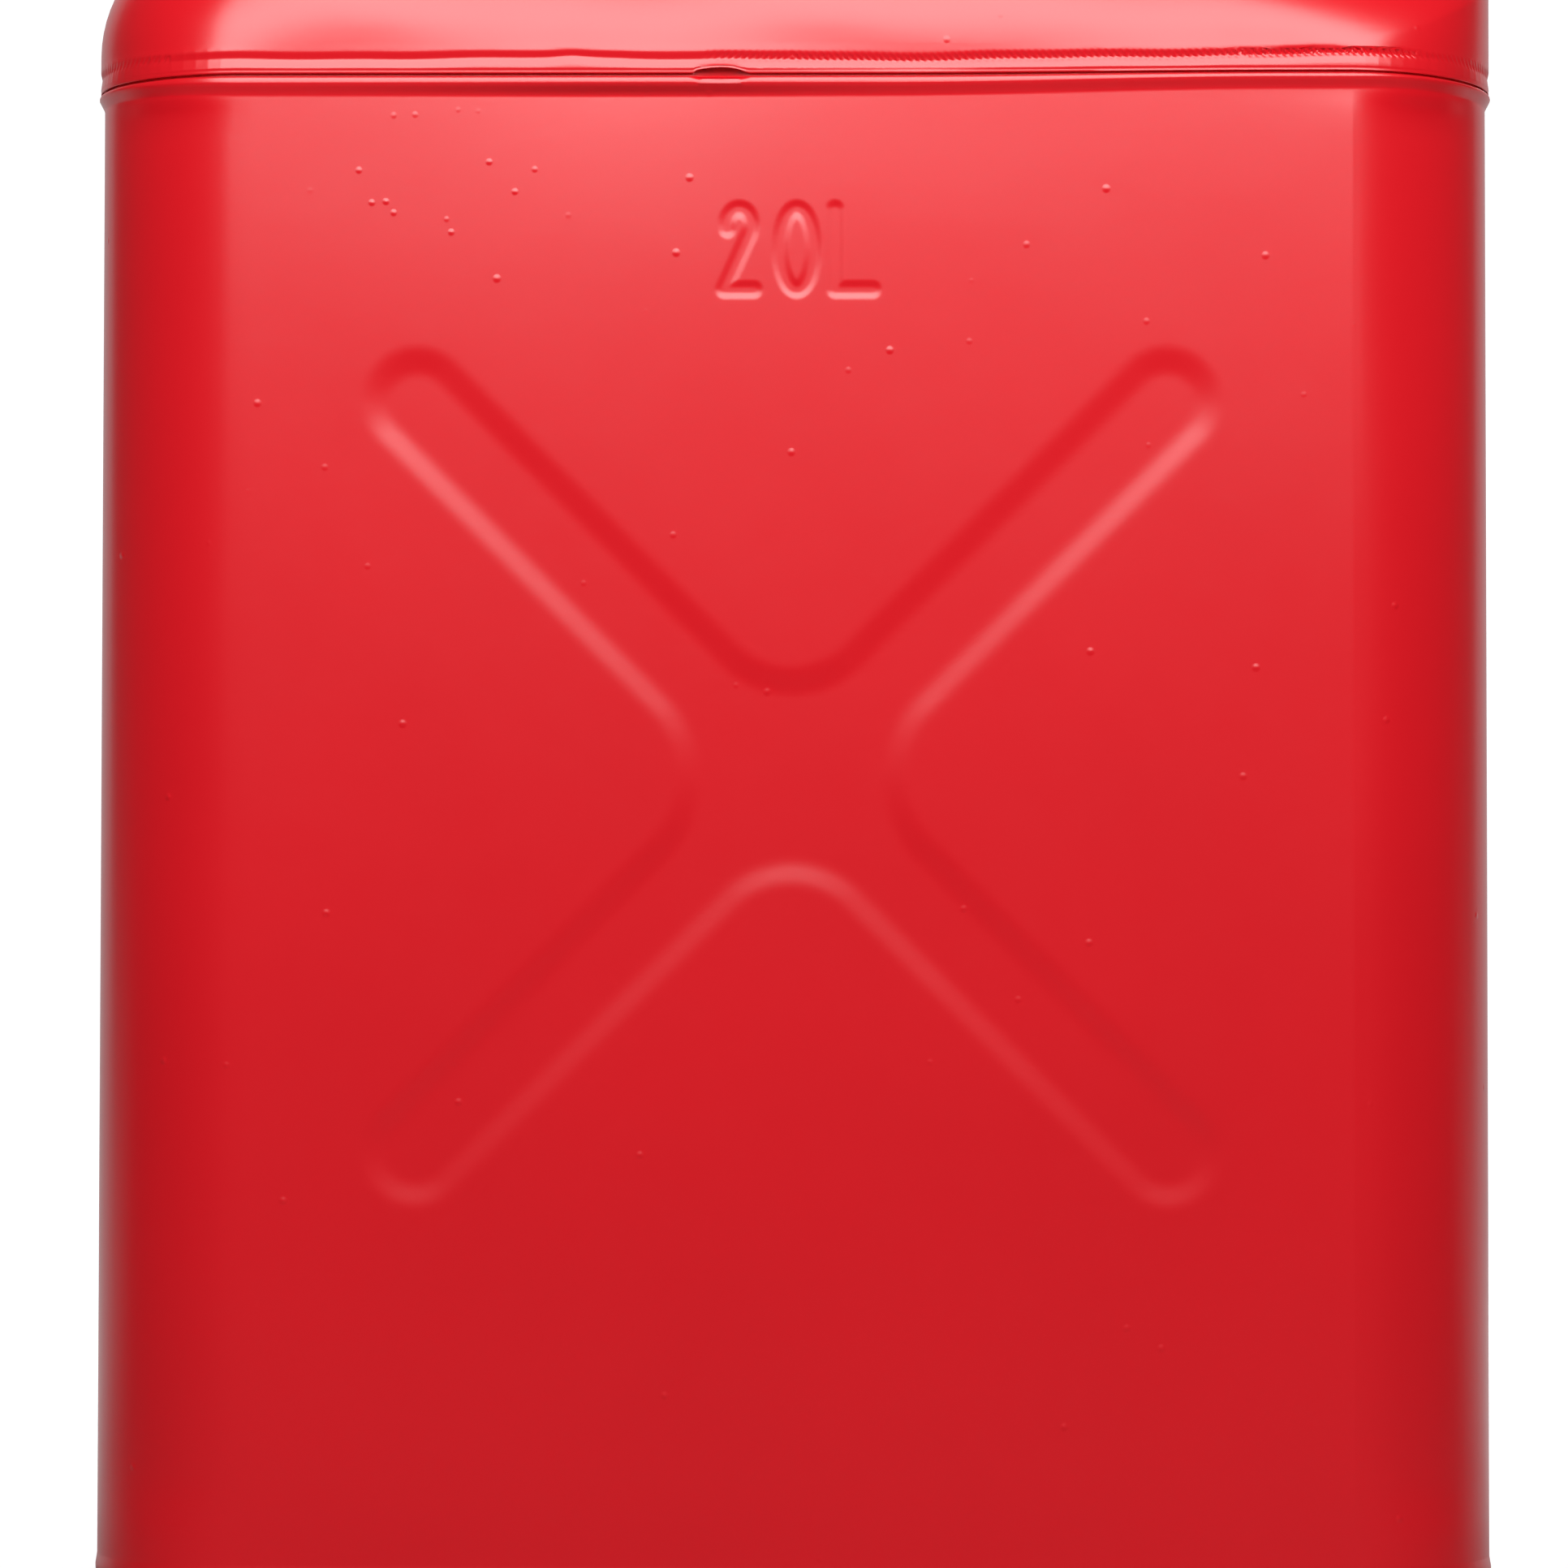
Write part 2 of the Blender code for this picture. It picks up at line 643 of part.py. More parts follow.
def make_closure_bracket(mouth):
    """Pressed bracket round the neck: base plate, two cheeks and the ears that hold the hinge pin."""
    cheek = cheek_outline()
    front = cheek[1][0]
    plate = bmesh.new()
    half = cheek_outside
    rear_half = ear_outside + BRACKET_SHEET
    step_x = -(flange_radius + BRACKET_SHEET)
    plan_plate(plate, [(bracket_rear, -rear_half), (step_x, -rear_half), (cheek[0][0], -half),
                       (front, -half), (front, half), (cheek[0][0], half),
                       (step_x, rear_half), (bracket_rear, rear_half)], plate_bottom, plate_top)
    bracket = piece("closure_bracket", plate, red_paint("closure_bracket"), mouth, smooth=False)

    risers = bmesh.new()
    ear = [(hinge.x - BRACKET_EAR_MARGIN, plate_bottom), (hinge.x + BRACKET_EAR_MARGIN, plate_bottom)]
    ear += arc((hinge.x, hinge.z), BRACKET_EAR_MARGIN - BRACKET_SHEET / 2, 0.0, 180.0, 8)
    for side in (-1, 1):
        side_plate(risers, cheek, side * cheek_inside, side * cheek_outside)
        side_plate(risers, ear, side * ear_inside, side * ear_outside)
    combine(bracket, guide("bracket_risers", risers, mouth), "UNION")

    holes = bmesh.new()
    neck_hole = flange_radius + SEAT_GAP
    reach = cheek_outside + SHEET
    lathe(holes, [(neck_hole, -SHEET), (neck_hole, plate_top + SEAT_GAP)])
    for centre, radius in ((hinge, pin_hole_radius), (catch, STUD_RADIUS + SEAT_GAP),
                           (lock, LOCK_RADIUS + SEAT_GAP)):
        lathe(holes, [(radius, -reach), (radius, reach)], across(centre), PIN_STEPS)
    combine(bracket, guide("bracket_holes", holes, mouth), "DIFFERENCE")


def make_catch_stud(name, side, mouth):
    """Shouldered stud through a cheek, which the lever's hook takes hold of."""
    head_start = arm_outside + RUNNING_GAP
    head_end = head_start + STUD_HEAD_HEIGHT
    profile = [(STUD_RADIUS, cheek_inside), (STUD_RADIUS, head_start), (STUD_HEAD_RADIUS, head_start),
               (STUD_HEAD_RADIUS, head_end - STUD_HEAD_HEIGHT / 3), (STUD_RADIUS, head_end)]
    shape = bmesh.new()
    lathe(shape, [(radius, side * y) for radius, y in profile], across(catch), PIN_STEPS)
    piece(name, shape, zinc(name), mouth)


def make_cross_pin(name, centre, grip, parent, origin):
    """Headed pin across the closure that holds what lies within grip on each side."""
    start = grip + SEAT_GAP
    half = start + PIN_HEAD_HEIGHT
    profile = [(PIN_RADIUS, -half), (PIN_HEAD_RADIUS, -half + PIN_HEAD_HEIGHT / 3), (PIN_HEAD_RADIUS, -start),
               (PIN_RADIUS, -start), (PIN_RADIUS, start), (PIN_HEAD_RADIUS, start),
               (PIN_HEAD_RADIUS, half - PIN_HEAD_HEIGHT / 3), (PIN_RADIUS, half)]
    shape = bmesh.new()
    lathe(shape, profile, across(centre), PIN_STEPS)
    piece(name, shape, zinc(name), parent, origin)


def make_lid_cap(lid):
    """Drawn lid: skirt round the lip, flat seat over the gasket and raised boss under the yoke."""
    outer = [(lid_radius, lid_top - LID_SKIRT_HEIGHT)]
    outer += arc((lid_radius - LID_EDGE_RADIUS, lid_top - LID_EDGE_RADIUS), LID_EDGE_RADIUS, 0.0, 90.0, 3)
    outer += [(LID_BOSS_RADIUS + LID_BOSS_RISE, lid_top), (LID_BOSS_RADIUS, boss_top)]
    outer += [(RIVET_RADIUS + SEAT_GAP, boss_top)]
    shape = bmesh.new()
    lathe(shape, wall_loop(outer, LID_SHEET), ring=True)
    piece("lid_cap", shape, red_paint("lid_cap"), lid, hinge)


def make_lid_gasket(lid):
    """Rubber ring in the lid that seals on the neck's lip."""
    outside = lid_inner_radius - SEAT_GAP
    inside = outside - GASKET_WIDTH
    top = gasket_bottom + GASKET_HEIGHT
    relief = (LID_EDGE_RADIUS - LID_SHEET) * 0.6
    profile = [(outside, gasket_bottom), (outside, top - relief), (outside - relief, top), (inside, top),
               (inside, gasket_bottom)]
    shape = bmesh.new()
    lathe(shape, profile, ring=True)
    piece("lid_gasket", shape, surface("gasket_rubber", (0.02, 0.02, 0.02), 0.8, 0.0), lid, hinge)


def yoke_outline():
    """Side view of the yoke: strap along the lid's top, bent down into the eye round the hinge pin."""
    bend = Vector((YOKE_REAR_SETBACK - lid_radius, yoke_top))
    centre = Vector((hinge.x, hinge.z))
    sight = bend - centre
    tangent = math.degrees(math.atan2(sight.y, sight.x) + math.acos(eye_radius / sight.length))
    touch = arc(centre, eye_radius, tangent, tangent, 1)[0]
    top_line = [(YOKE_FRONT, yoke_top), tuple(bend), touch]
    bottom_line = offset_path(top_line, YOKE_SHEET)
    inner_turn = tangent - math.degrees(math.acos((eye_radius - YOKE_SHEET) / eye_radius))
    eye = arc(centre, eye_radius, tangent, inner_turn + 360.0, 14)
    return top_line[:2] + eye + bottom_line[1::-1]


def make_lid_yoke(lid):
    """Yoke that carries the lid: strap, hinge eye and the two ears for the lever's pin."""
    strap = bmesh.new()
    side_plate(strap, yoke_outline(), -YOKE_HALF_WIDTH, YOKE_HALF_WIDTH)
    yoke = piece("lid_yoke", strap, red_paint("lid_yoke"), lid, hinge, smooth=False)

    ears = bmesh.new()
    radius = PIN_HEAD_RADIUS + SHEET
    foot = yoke_bottom + YOKE_SHEET / 2
    outline = [(pivot.x - radius - SHEET, foot), (pivot.x + radius, foot)]
    outline += arc((pivot.x, pivot.z), radius, 0.0, 180.0, 8)
    ear_edge = YOKE_HALF_WIDTH - SEAT_GAP
    for side in (-1, 1):
        side_plate(ears, outline, side * (ear_edge - YOKE_EAR_SHEET), side * ear_edge)
    combine(yoke, guide("yoke_ears", ears, lid, hinge), "UNION")

    holes = bmesh.new()
    reach = YOKE_HALF_WIDTH + SHEET
    for centre in (hinge, pivot):
        lathe(holes, [(pin_hole_radius, -reach), (pin_hole_radius, reach)], across(centre), PIN_STEPS)
    rivet_hole = RIVET_RADIUS + SEAT_GAP
    lathe(holes, [(rivet_hole, yoke_bottom - SHEET), (rivet_hole, yoke_top + SHEET)], steps=PIN_STEPS)
    combine(yoke, guide("yoke_holes", holes, lid, hinge), "DIFFERENCE")


def make_lid_rivet(lid):
    """Rivet through lid and yoke, on which the lid can settle flat."""
    under = boss_top - LID_SHEET - SEAT_GAP
    over = yoke_top + SEAT_GAP
    rim = RIVET_HEAD_HEIGHT / 3
    profile = [(RIVET_RADIUS, under - RIVET_HEAD_HEIGHT + rim), (RIVET_HEAD_RADIUS, under - rim),
               (RIVET_HEAD_RADIUS, under), (RIVET_RADIUS, under), (RIVET_RADIUS, over),
               (RIVET_HEAD_RADIUS, over), (RIVET_HEAD_RADIUS, over + rim),
               (RIVET_RADIUS * 1.4, over + RIVET_HEAD_HEIGHT * 0.8), (RIVET_RADIUS * 0.5, over + RIVET_HEAD_HEIGHT)]
    shape = bmesh.new()
    lathe(shape, profile, steps=PIN_STEPS)
    piece("lid_rivet", shape, zinc("lid_rivet"), lid, hinge)


def stud_in_lever(lever_angle):
    """Where the catch lies in the closed lever's frame once the lever has turned."""
    about_hinge = Matrix.Rotation(lever_angle * swing_ratio, 3, "Y")
    about_pivot = Matrix.Rotation(lever_angle, 3, "Y")
    seen_from_lid = about_hinge @ (catch - hinge) + hinge
    return about_pivot @ (seen_from_lid - pivot) + pivot


def hook_slot():
    """Outline of the hook's slot: the stud's own path, with a clearance that flares to the mouth."""
    steps = 8
    path = []
    for step in range(steps + 1):
        seat = stud_in_lever(math.radians(1.8) * step)
        path.append((seat.x, seat.z))
    upper = []
    lower = []
    for step, point in enumerate(path):
        before = Vector(path[max(step - 1, 0)])
        after = Vector(path[min(step + 1, steps)])
        run = (after - before).normalized()
        half = STUD_RADIUS + HOOK_CLEARANCE + HOOK_FLARE * step / steps
        upper.append((point[0] + run.y * half, point[1] - run.x * half))
        lower.append((point[0] - run.y * half, point[1] + run.x * half))
    start_turn = math.degrees(math.atan2(path[1][1] - path[0][1], path[1][0] - path[0][0]))
    nose = arc(path[0], STUD_RADIUS + HOOK_CLEARANCE, start_turn + 90.0, start_turn + 270.0, 8)
    return lower[1:][::-1] + nose + upper[1:]


def lever_outline():
    """Side view of the lever: hook jaws, arm, boss round the pivot and front web."""
    jaw = catch.x - HOOK_JAW_LENGTH
    rise = LEVER_BEND_RADIUS / 2
    points = [(jaw, LEVER_FOOT + rise), (jaw + rise, LEVER_FOOT), (lock.x - LEVER_BOSS_RADIUS, LEVER_FOOT)]
    points += [(web_outside, LEVER_WEB_BOTTOM), (web_outside, LEVER_WEB_TOP)]
    points += arc((pivot.x, pivot.z), LEVER_BOSS_RADIUS, 50.0, 190.0, 8)
    points += [(catch.x + rise, catch.z + 2 * LEVER_BEND_RADIUS + rise)]
    points += [(jaw + rise / 2, catch.z + 2 * LEVER_BEND_RADIUS), (jaw, catch.z + LEVER_BEND_RADIUS)]
    return points


def lever_plan():
    """Top view of the bent sheet: two arms joined by the front web."""
    rear = catch.x - HOOK_JAW_LENGTH - SHEET
    radius = LEVER_BEND_RADIUS
    outer = [(rear, -arm_outside)]
    outer += arc((web_outside - radius, radius - arm_outside), radius, -90.0, 0.0, 4)
    outer += arc((web_outside - radius, arm_outside - radius), radius, 0.0, 90.0, 4)
    outer.append((rear, arm_outside))
    return wall_loop(outer, LEVER_SHEET)


def tab_outline():
    """Side view of the finger tab, curled up at its end."""
    middle = (web_inside + web_outside) / 2
    low = LEVER_WEB_BOTTOM + SHEET / 2
    line = [(middle, low), (web_outside + TAB_REACH / 2, low), (web_outside + TAB_REACH * 0.8, low + TAB_RISE / 3)]
    line.append((web_outside + TAB_REACH, low + TAB_RISE))
    return wall_loop(line, LEVER_SHEET)


def make_cam_lever(lever):
    """Lever bent from one sheet: arms with hooks for the studs, front web and finger tab."""
    sheet = bmesh.new()
    plan_plate(sheet, lever_plan(), LEVER_FOOT - SHEET, pivot.z + LEVER_BOSS_RADIUS + SHEET)
    cam_lever = piece("cam_lever", sheet, red_paint("cam_lever"), lever, pivot, smooth=False)

    trim = bmesh.new()
    side_plate(trim, lever_outline(), -arm_outside - SHEET, arm_outside + SHEET)
    combine(cam_lever, guide("lever_trim", trim, lever, pivot), "INTERSECT")

    tab = bmesh.new()
    side_plate(tab, tab_outline(), -TAB_HALF_WIDTH, TAB_HALF_WIDTH)
    combine(cam_lever, guide("lever_tab", tab, lever, pivot), "UNION")

    holes = bmesh.new()
    reach = arm_outside + SHEET
    lathe(holes, [(pin_hole_radius, -reach), (pin_hole_radius, reach)], across(pivot), PIN_STEPS)
    lock_hole = LOCK_RADIUS + SEAT_GAP
    lathe(holes, [(lock_hole, -reach), (lock_hole, SHEET - arm_inside)], across(lock), PIN_STEPS)
    for side in (-1, 1):
        side_plate(holes, hook_slot(), side * (arm_inside - SEAT_GAP), side * reach)
    combine(cam_lever, guide("lever_holes", holes, lever, pivot), "DIFFERENCE")


def make_lock_pin_guide(lever):
    """Boss on the lever's arm in which the lock pin slides."""
    start = arm_outside + SEAT_GAP
    end = start + LOCK_GUIDE_LENGTH
    inner = LOCK_RADIUS + SEAT_GAP
    outer = inner + LOCK_GUIDE_WALL
    shape = bmesh.new()
    profile = [(inner, -start), (outer, -start), (outer, -end + SEAT_GAP), (outer - SEAT_GAP, -end), (inner, -end)]
    lathe(shape, profile, across(lock), PIN_STEPS, ring=True)
    piece("lock_pin_guide", shape, zinc("lock_pin_guide"), lever, pivot)


def make_lock_pin(slide):
    """Sliding pin that locks the lever to the bracket's cheek, drawn out here."""
    tip = arm_inside + LOCK_TIP_SETBACK
    knob = arm_outside + SEAT_GAP + LOCK_GUIDE_LENGTH + LOCK_TRAVEL + RUNNING_GAP
    end = knob + LOCK_KNOB_LENGTH
    edge = LOCK_RADIUS / 4
    profile = [(LOCK_RADIUS - edge, -tip), (LOCK_RADIUS, -tip - edge), (LOCK_RADIUS, -knob),
               (LOCK_KNOB_RADIUS - edge, -knob), (LOCK_KNOB_RADIUS, -knob - edge),
               (LOCK_KNOB_RADIUS, -end + edge), (LOCK_KNOB_RADIUS - edge, -end)]
    shape = bmesh.new()
    lathe(shape, profile, across(lock), PIN_STEPS)
    piece("lock_pin", shape, zinc("lock_pin"), slide, lock)


def make_can():
    """All the pieces, from the tube outwards to the closure."""
    mouth = empty("mouth_frame", (mouth_x, 0.0, crown_height(mouth_x)), tilt=MOUTH_TILT)
    lid = empty("lid_hinge_axis", hinge, mouth)
    lever = empty("lever_pivot_axis", pivot - hinge, lid)
    slide = empty("lock_pin_axis", lock - pivot, lever)

    make_body_shell()
    make_top_cover(mouth)
    make_bottom_pan()
    pitch = crown_half_width - HANDLE_WIDTH / 2
    for name, place in (("handle_front", -1), ("handle_middle", 0), ("handle_rear", 1)):
        make_handle(name, place * pitch)
    make_filler_neck(mouth)
    make_breather_tube(mouth)
    make_closure_bracket(mouth)
    make_catch_stud("catch_stud_front", -1, mouth)
    make_catch_stud("catch_stud_rear", 1, mouth)
    make_cross_pin("lid_hinge_pin", hinge, ear_outside, mouth, (0.0, 0.0, 0.0))
    make_lid_cap(lid)
    make_lid_gasket(lid)
    make_lid_yoke(lid)
    make_lid_rivet(lid)
    make_cross_pin("lever_pin", pivot, arm_outside, lid, hinge)
    make_cam_lever(lever)
    make_lock_pin_guide(lever)
    make_lock_pin(slide)


for leftover in list(bpy.data.objects):
    bpy.data.objects.remove(leftover)

make_can()
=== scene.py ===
"""Looks of a twenty-litre steel fuel can, built round the can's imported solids.

Units are metres and +Z is up. The broad faces look along -Y and +Y, and the mouth is at the +X end.
Sizes and places come from the solids' boxes and joints. What the solids don't carry, such as weld
tracks, stitches and the pressed capacity mark, has its sizes in the property groups below.
"""

import json
import math

import bmesh
import bpy
import numpy as np
from bpy.props import FloatProperty, FloatVectorProperty, PointerProperty
from bpy.types import Operator, Panel, PropertyGroup
from mathutils import Matrix, Vector


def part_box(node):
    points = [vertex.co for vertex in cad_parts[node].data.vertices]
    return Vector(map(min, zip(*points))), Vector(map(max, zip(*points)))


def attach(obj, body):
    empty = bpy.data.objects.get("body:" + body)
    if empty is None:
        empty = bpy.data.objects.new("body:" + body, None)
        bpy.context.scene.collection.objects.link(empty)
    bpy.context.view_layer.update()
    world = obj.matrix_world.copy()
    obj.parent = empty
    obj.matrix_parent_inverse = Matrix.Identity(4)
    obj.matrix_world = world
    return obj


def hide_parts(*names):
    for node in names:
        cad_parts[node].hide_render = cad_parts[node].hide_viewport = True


bl_info = {
    "name": "Fuel can",
    "version": (1, 0, 0),
    "blender": (4, 5, 0),
    "location": "3D View > Sidebar > Fuel can",
    "description": "Builds the looks of a twenty-litre steel fuel can round its solids",
    "category": "Object",
}

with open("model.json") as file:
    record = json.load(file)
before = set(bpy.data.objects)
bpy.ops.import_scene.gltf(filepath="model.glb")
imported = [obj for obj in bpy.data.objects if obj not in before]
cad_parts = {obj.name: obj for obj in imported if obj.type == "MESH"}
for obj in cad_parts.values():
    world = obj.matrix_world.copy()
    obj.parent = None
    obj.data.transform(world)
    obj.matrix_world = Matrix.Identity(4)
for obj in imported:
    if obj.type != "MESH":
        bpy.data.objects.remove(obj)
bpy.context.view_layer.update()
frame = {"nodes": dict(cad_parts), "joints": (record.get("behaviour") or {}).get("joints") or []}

# Places and sizes read from the solids
SHEET = 0.001
body_low, body_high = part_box("body_shell")
cover_low, cover_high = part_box("top_cover")
pan_low, pan_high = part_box("bottom_pan")
face_half_x = cover_high.x - SHEET
face_half_y = cover_high.y - SHEET
top_seam = cover_low.z
bottom_seam = pan_high.z
crown_level = cover_high.z

MOUTH_TILT = math.radians(14.0)
HINGE_IN_MOUTH = Vector((-0.037, 0.0, 0.017))
joint_places = {joint["name"]: Vector(joint["pos_m"]) for joint in frame["joints"] if "pos_m" in joint}
mouth_turn = Matrix.Rotation(MOUTH_TILT, 4, "Y")
hinge_place = joint_places["lid_swing"]
pivot_place = joint_places["lever_turn"]
mouth_place = hinge_place - mouth_turn.to_3x3() @ HINGE_IN_MOUTH


def length(name, description, default, low=0.0):
    """Property that holds a length in metres."""
    return FloatProperty(name=name, description=description, default=default, min=low, unit="LENGTH", precision=5)


def angle(name, description, degrees):
    """Property that holds an angle."""
    return FloatProperty(name=name, description=description, default=math.radians(degrees), subtype="ANGLE")


def tint(name, description, default):
    """Property that holds a colour."""
    return FloatVectorProperty(name=name, description=description, default=default, subtype="COLOR",
                               min=0.0, max=1.0)


def share(name, description, default):
    """Property that holds a share from 0 to 1."""
    return FloatProperty(name=name, description=description, default=default, min=0.0, max=1.0, subtype="FACTOR")


class BodySettings(PropertyGroup):
    """Body tube, its beads and crosses, and the pressed capacity mark"""
    corner_radius: length("Corner radius", "Radius of the upright corners", 0.036)
    bead_projection: length("Bead projection", "How far the upper bead stands out", 0.0013)
    bead_height: length("Bead height", "Height of a rolled bead", 0.0049)
    lower_bead: length("Lower bead", "How far the lower bead stands out", 0.0004)
    crease: length("Crease", "Depth of the crease that a corner starts with", 0.0018)
    deeper: share("Deeper crease", "How much deeper it is high up at the mouth's end", 0.5)
    curl: length("Curl", "Height of the flat's curl beside that crease", 0.00022)
    cross_drop: length("Cross drop", "From the top seam to the cross's middle", 0.170)
    cross_reach: length("Cross reach", "Length of an arm to its end's middle", 0.128)
    cross_depth: length("Cross depth", "Depth of the pressed cross", 0.00078)
    cross_floor: length("Cross floor", "Width of the cross's flat floor", 0.0131)
    cross_wall: length("Cross wall", "Run of the cross's wall from rim to floor", 0.0074)
    mark_drop: length("Mark drop", "From the top seam to the mark's middle", 0.0423)
    mark_height: length("Mark height", "Height of the mark's strokes", 0.0196)
    mark_depth: length("Mark depth", "Depth of the pressed strokes", 0.00030)
    dent_depth: length("Unevenness", "How far the flats wander in and out", 0.00010)
    sag: length("Sag", "How far the near face leans in below the seam", 0.0013)
    seam_rise: length("Seam rise", "Height of the upright lap weld", 0.00022)


class SkirtSettings(PropertyGroup):
    """Weld track that runs round both skirts"""
    edge: length("Skirt edge", "Groove between seam line and skirt edge", 0.0004)
    drop: length("Track drop", "From the seam line to the track's deepest line", 0.0038)
    depth: length("Track depth", "Depth of the track on the flats", 0.00040)
    corner_depth: length("Corner depth", "Depth of the track round the corners", 0.00010)
    step_depth: length("Step depth", "Depth of the fine step above the edge", 0.00010)
    stitch_pitch: length("Stitch pitch", "From one weld stitch to the next", 0.00168)
    stitch_depth: length("Stitch depth", "Depth of a weld stitch", 0.00026)
    wander: length("Wander", "How far the track wanders up and down", 0.00022)
    lift: length("Lifted lip", "How far the lip stands open in one place", 0.0014)
    lift_half: length("Lifted half", "Half length of that place", 0.0066)
    lift_place: length("Lifted place", "Middle of that place along the face", -0.0172, -0.15)


class CoverSettings(PropertyGroup):
    """Shoulders and crown of the top cover"""
    shoulder_rise: length("Shoulder rise", "Start of the shoulder above the seam", 0.008)
    mouth_wall_rise: length("Mouth wall", "Top of the mouth end's wall above the seam", 0.025)
    shoulder_far: length("Far shoulder", "Inset of the crown at the far end", 0.060)
    shoulder_mouth: length("Mouth shoulder", "Inset of the crown at the mouth's end", 0.009)
    shoulder_side: length("Side shoulder", "Inset of the crown at the broad faces", 0.035)
    crown_corner: length("Crown corner", "Corner radius of the crown", 0.025)
    slope_start: length("Slope start", "Where the crown bends into the slope", 0.071277)
    buckle: length("Buckle", "How far the shoulders wander in and out", 0.00045)
    lean: length("Lean", "How far the broad walls lean in above the weld track", 0.0011)
    uneven: share("Uneven lean", "Share by which that lean varies along the can", 0.8)


class PanSettings(PropertyGroup):
    """Bottom pan"""
    radius: length("Edge radius", "Rounding between skirt and underside", 0.008)
    ring: length("Standing ring", "Width of the ring it stands on", 0.014)
    rise: length("Panel rise", "Height of the raised panel", 0.005)
    slope: length("Panel slope", "Run of the slope up to the panel", 0.008)


class HandleSettings(PropertyGroup):
    """Three carrying handles and their weld beads"""
    depth: length("Depth", "Depth of the channel section", 0.0085)
    metal: length("Sheet", "Thickness of the handle's sheet", 0.0014)
    lip: length("Lip", "Width of the turned-in lips", 0.003)
    edge_radius: length("Edge radius", "Rounding of the outer edges", 0.003)
    bend_radius: length("Bend radius", "Radius of the bends, on the outside", 0.020)
    weld_radius: length("Weld radius", "Radius of a foot's weld bead", 0.0016)


class FinishSettings(PropertyGroup):
    """Colours and surface detail"""
    enamel: tint("Enamel", "Red enamel of the can", (0.76, 0.0038, 0.0115))
    enamel_roughness: share("Enamel roughness", "Roughness of the enamel", 0.29)
    enamel_specular: share("Enamel specular", "Specular level of the enamel", 0.64)
    peel: length("Orange peel", "Height of the enamel's orange peel", 0.000010)
    nib: length("Nibs", "Height of the dust nibs in the enamel", 0.00014)
    zinc: tint("Zinc", "Plated steel of pins, studs and rivet", (0.62, 0.61, 0.57))
    rubber: tint("Rubber", "Black rubber of the gasket", (0.018, 0.018, 0.019))
    lining: tint("Lining", "Grey lining inside the can", (0.20, 0.21, 0.21))


class StageSettings(PropertyGroup):
    """Floor, lamps and camera"""
    lens: FloatProperty(name="Lens", description="Focal length on a 36 mm sensor", default=126.75,
                        subtype="DISTANCE_CAMERA")
    pitch: angle("Pitch", "How far the camera looks up", 1.979)
    turn: angle("Turn", "How far it is turned to the left", 0.745)
    roll: angle("Roll", "How far it is rolled to the right", -0.071)
    camera: FloatVectorProperty(name="Camera", description="Where the camera stands",
                                default=(0.01555, -1.41056, 0.16039), subtype="XYZ", unit="LENGTH")
    floor: tint("Floor", "Floor before the can", (0.22, 0.22, 0.22))
    far_floor: tint("Far floor", "Floor and backdrop behind the can", (0.62, 0.62, 0.62))
    floor_glow: share("Floor glow", "White that the floor adds to what is seen", 0.80)
    mirrored: share("Mirrored white", "Share of that white that is mirrored", 0.58)
    fill: share("Fill", "Strength of the even light", 0.11)


class CanSettings(PropertyGroup):
    """All the sizes and colours of the can"""
    body: PointerProperty(type=BodySettings)
    skirt: PointerProperty(type=SkirtSettings)
    cover: PointerProperty(type=CoverSettings)
    pan: PointerProperty(type=PanSettings)
    handles: PointerProperty(type=HandleSettings)
    finishes: PointerProperty(type=FinishSettings)
    stage: PointerProperty(type=StageSettings)


# Finishes

class Signal:
    """Number or colour on its way through a finish's nodes. Arithmetic on it adds Math nodes."""

    def __init__(self, finish, socket):
        self.finish = finish
        self.socket = socket

    def math(self, operation, first, second):
        return self.finish.node("Math", {0: first, 1: second}, operation=operation)

    def __add__(self, other):
        return self.math("ADD", self, other)

    def __sub__(self, other):
        return self.math("SUBTRACT", self, other)

    def __rsub__(self, other):
        return self.math("SUBTRACT", other, self)

    def __mul__(self, other):
        return self.math("MULTIPLY", self, other)

    __radd__ = __add__
    __rmul__ = __mul__


class Finish:
    """Nodes of a material or of the world, under construction."""

    def __init__(self, owner, shader="Principled BSDF"):
        owner.use_nodes = True
        self.tree = owner.node_tree
        self.shader = self.tree.nodes[shader]

    def node(self, kind, sockets, output=0, **settings):
        """Adds a node: its settings first, then the values or links of its sockets."""
        made = self.tree.nodes.new("ShaderNode" + kind)
        for name, value in settings.items():
            setattr(made, name, value)
        for name, value in sockets.items():
            self.feed(made.inputs[name], value)
        return Signal(self, made.outputs[output])

    def feed(self, socket, value):
        if isinstance(value, Signal):
            self.tree.links.new(value.socket, socket)
        else:
            socket.default_value = value

    def set(self, **values):
        """Feeds the shader's sockets, named with underscores for spaces."""
        for name, value in values.items():
            self.feed(self.shader.inputs[name.replace("_", " ")], value)

    def place(self):
        return self.node("TexCoord", {}, output="Object")

    def noise(self, place, scale, detail=2.0, roughness=0.5):
        return self.node("TexNoise", {"Vector": place, "Scale": scale, "Detail": detail, "Roughness": roughness})

    def limited(self, value, low, high):
        """Rises softly from 0 to 1 as the value goes from low to high."""
        return self.node("MapRange", {"Value": value, "From Min": low, "From Max": high},
                         interpolation_type="SMOOTHSTEP")

    def mixed(self, factor, first, second):
        """Colour between two colours."""
        return self.node("Mix", {0: factor, 6: first, 7: second}, output=2, data_type="RGBA")

    def relief(self, height):
        """Normal of a surface with a height in metres."""
        return self.node("Bump", {"Strength": 1.0, "Distance": 1.0, "Height": height})


def shade(colour, factor):
    """Colour made lighter or darker, with its alpha."""
    return (*[min(channel * factor, 1.0) for channel in colour], 1.0)


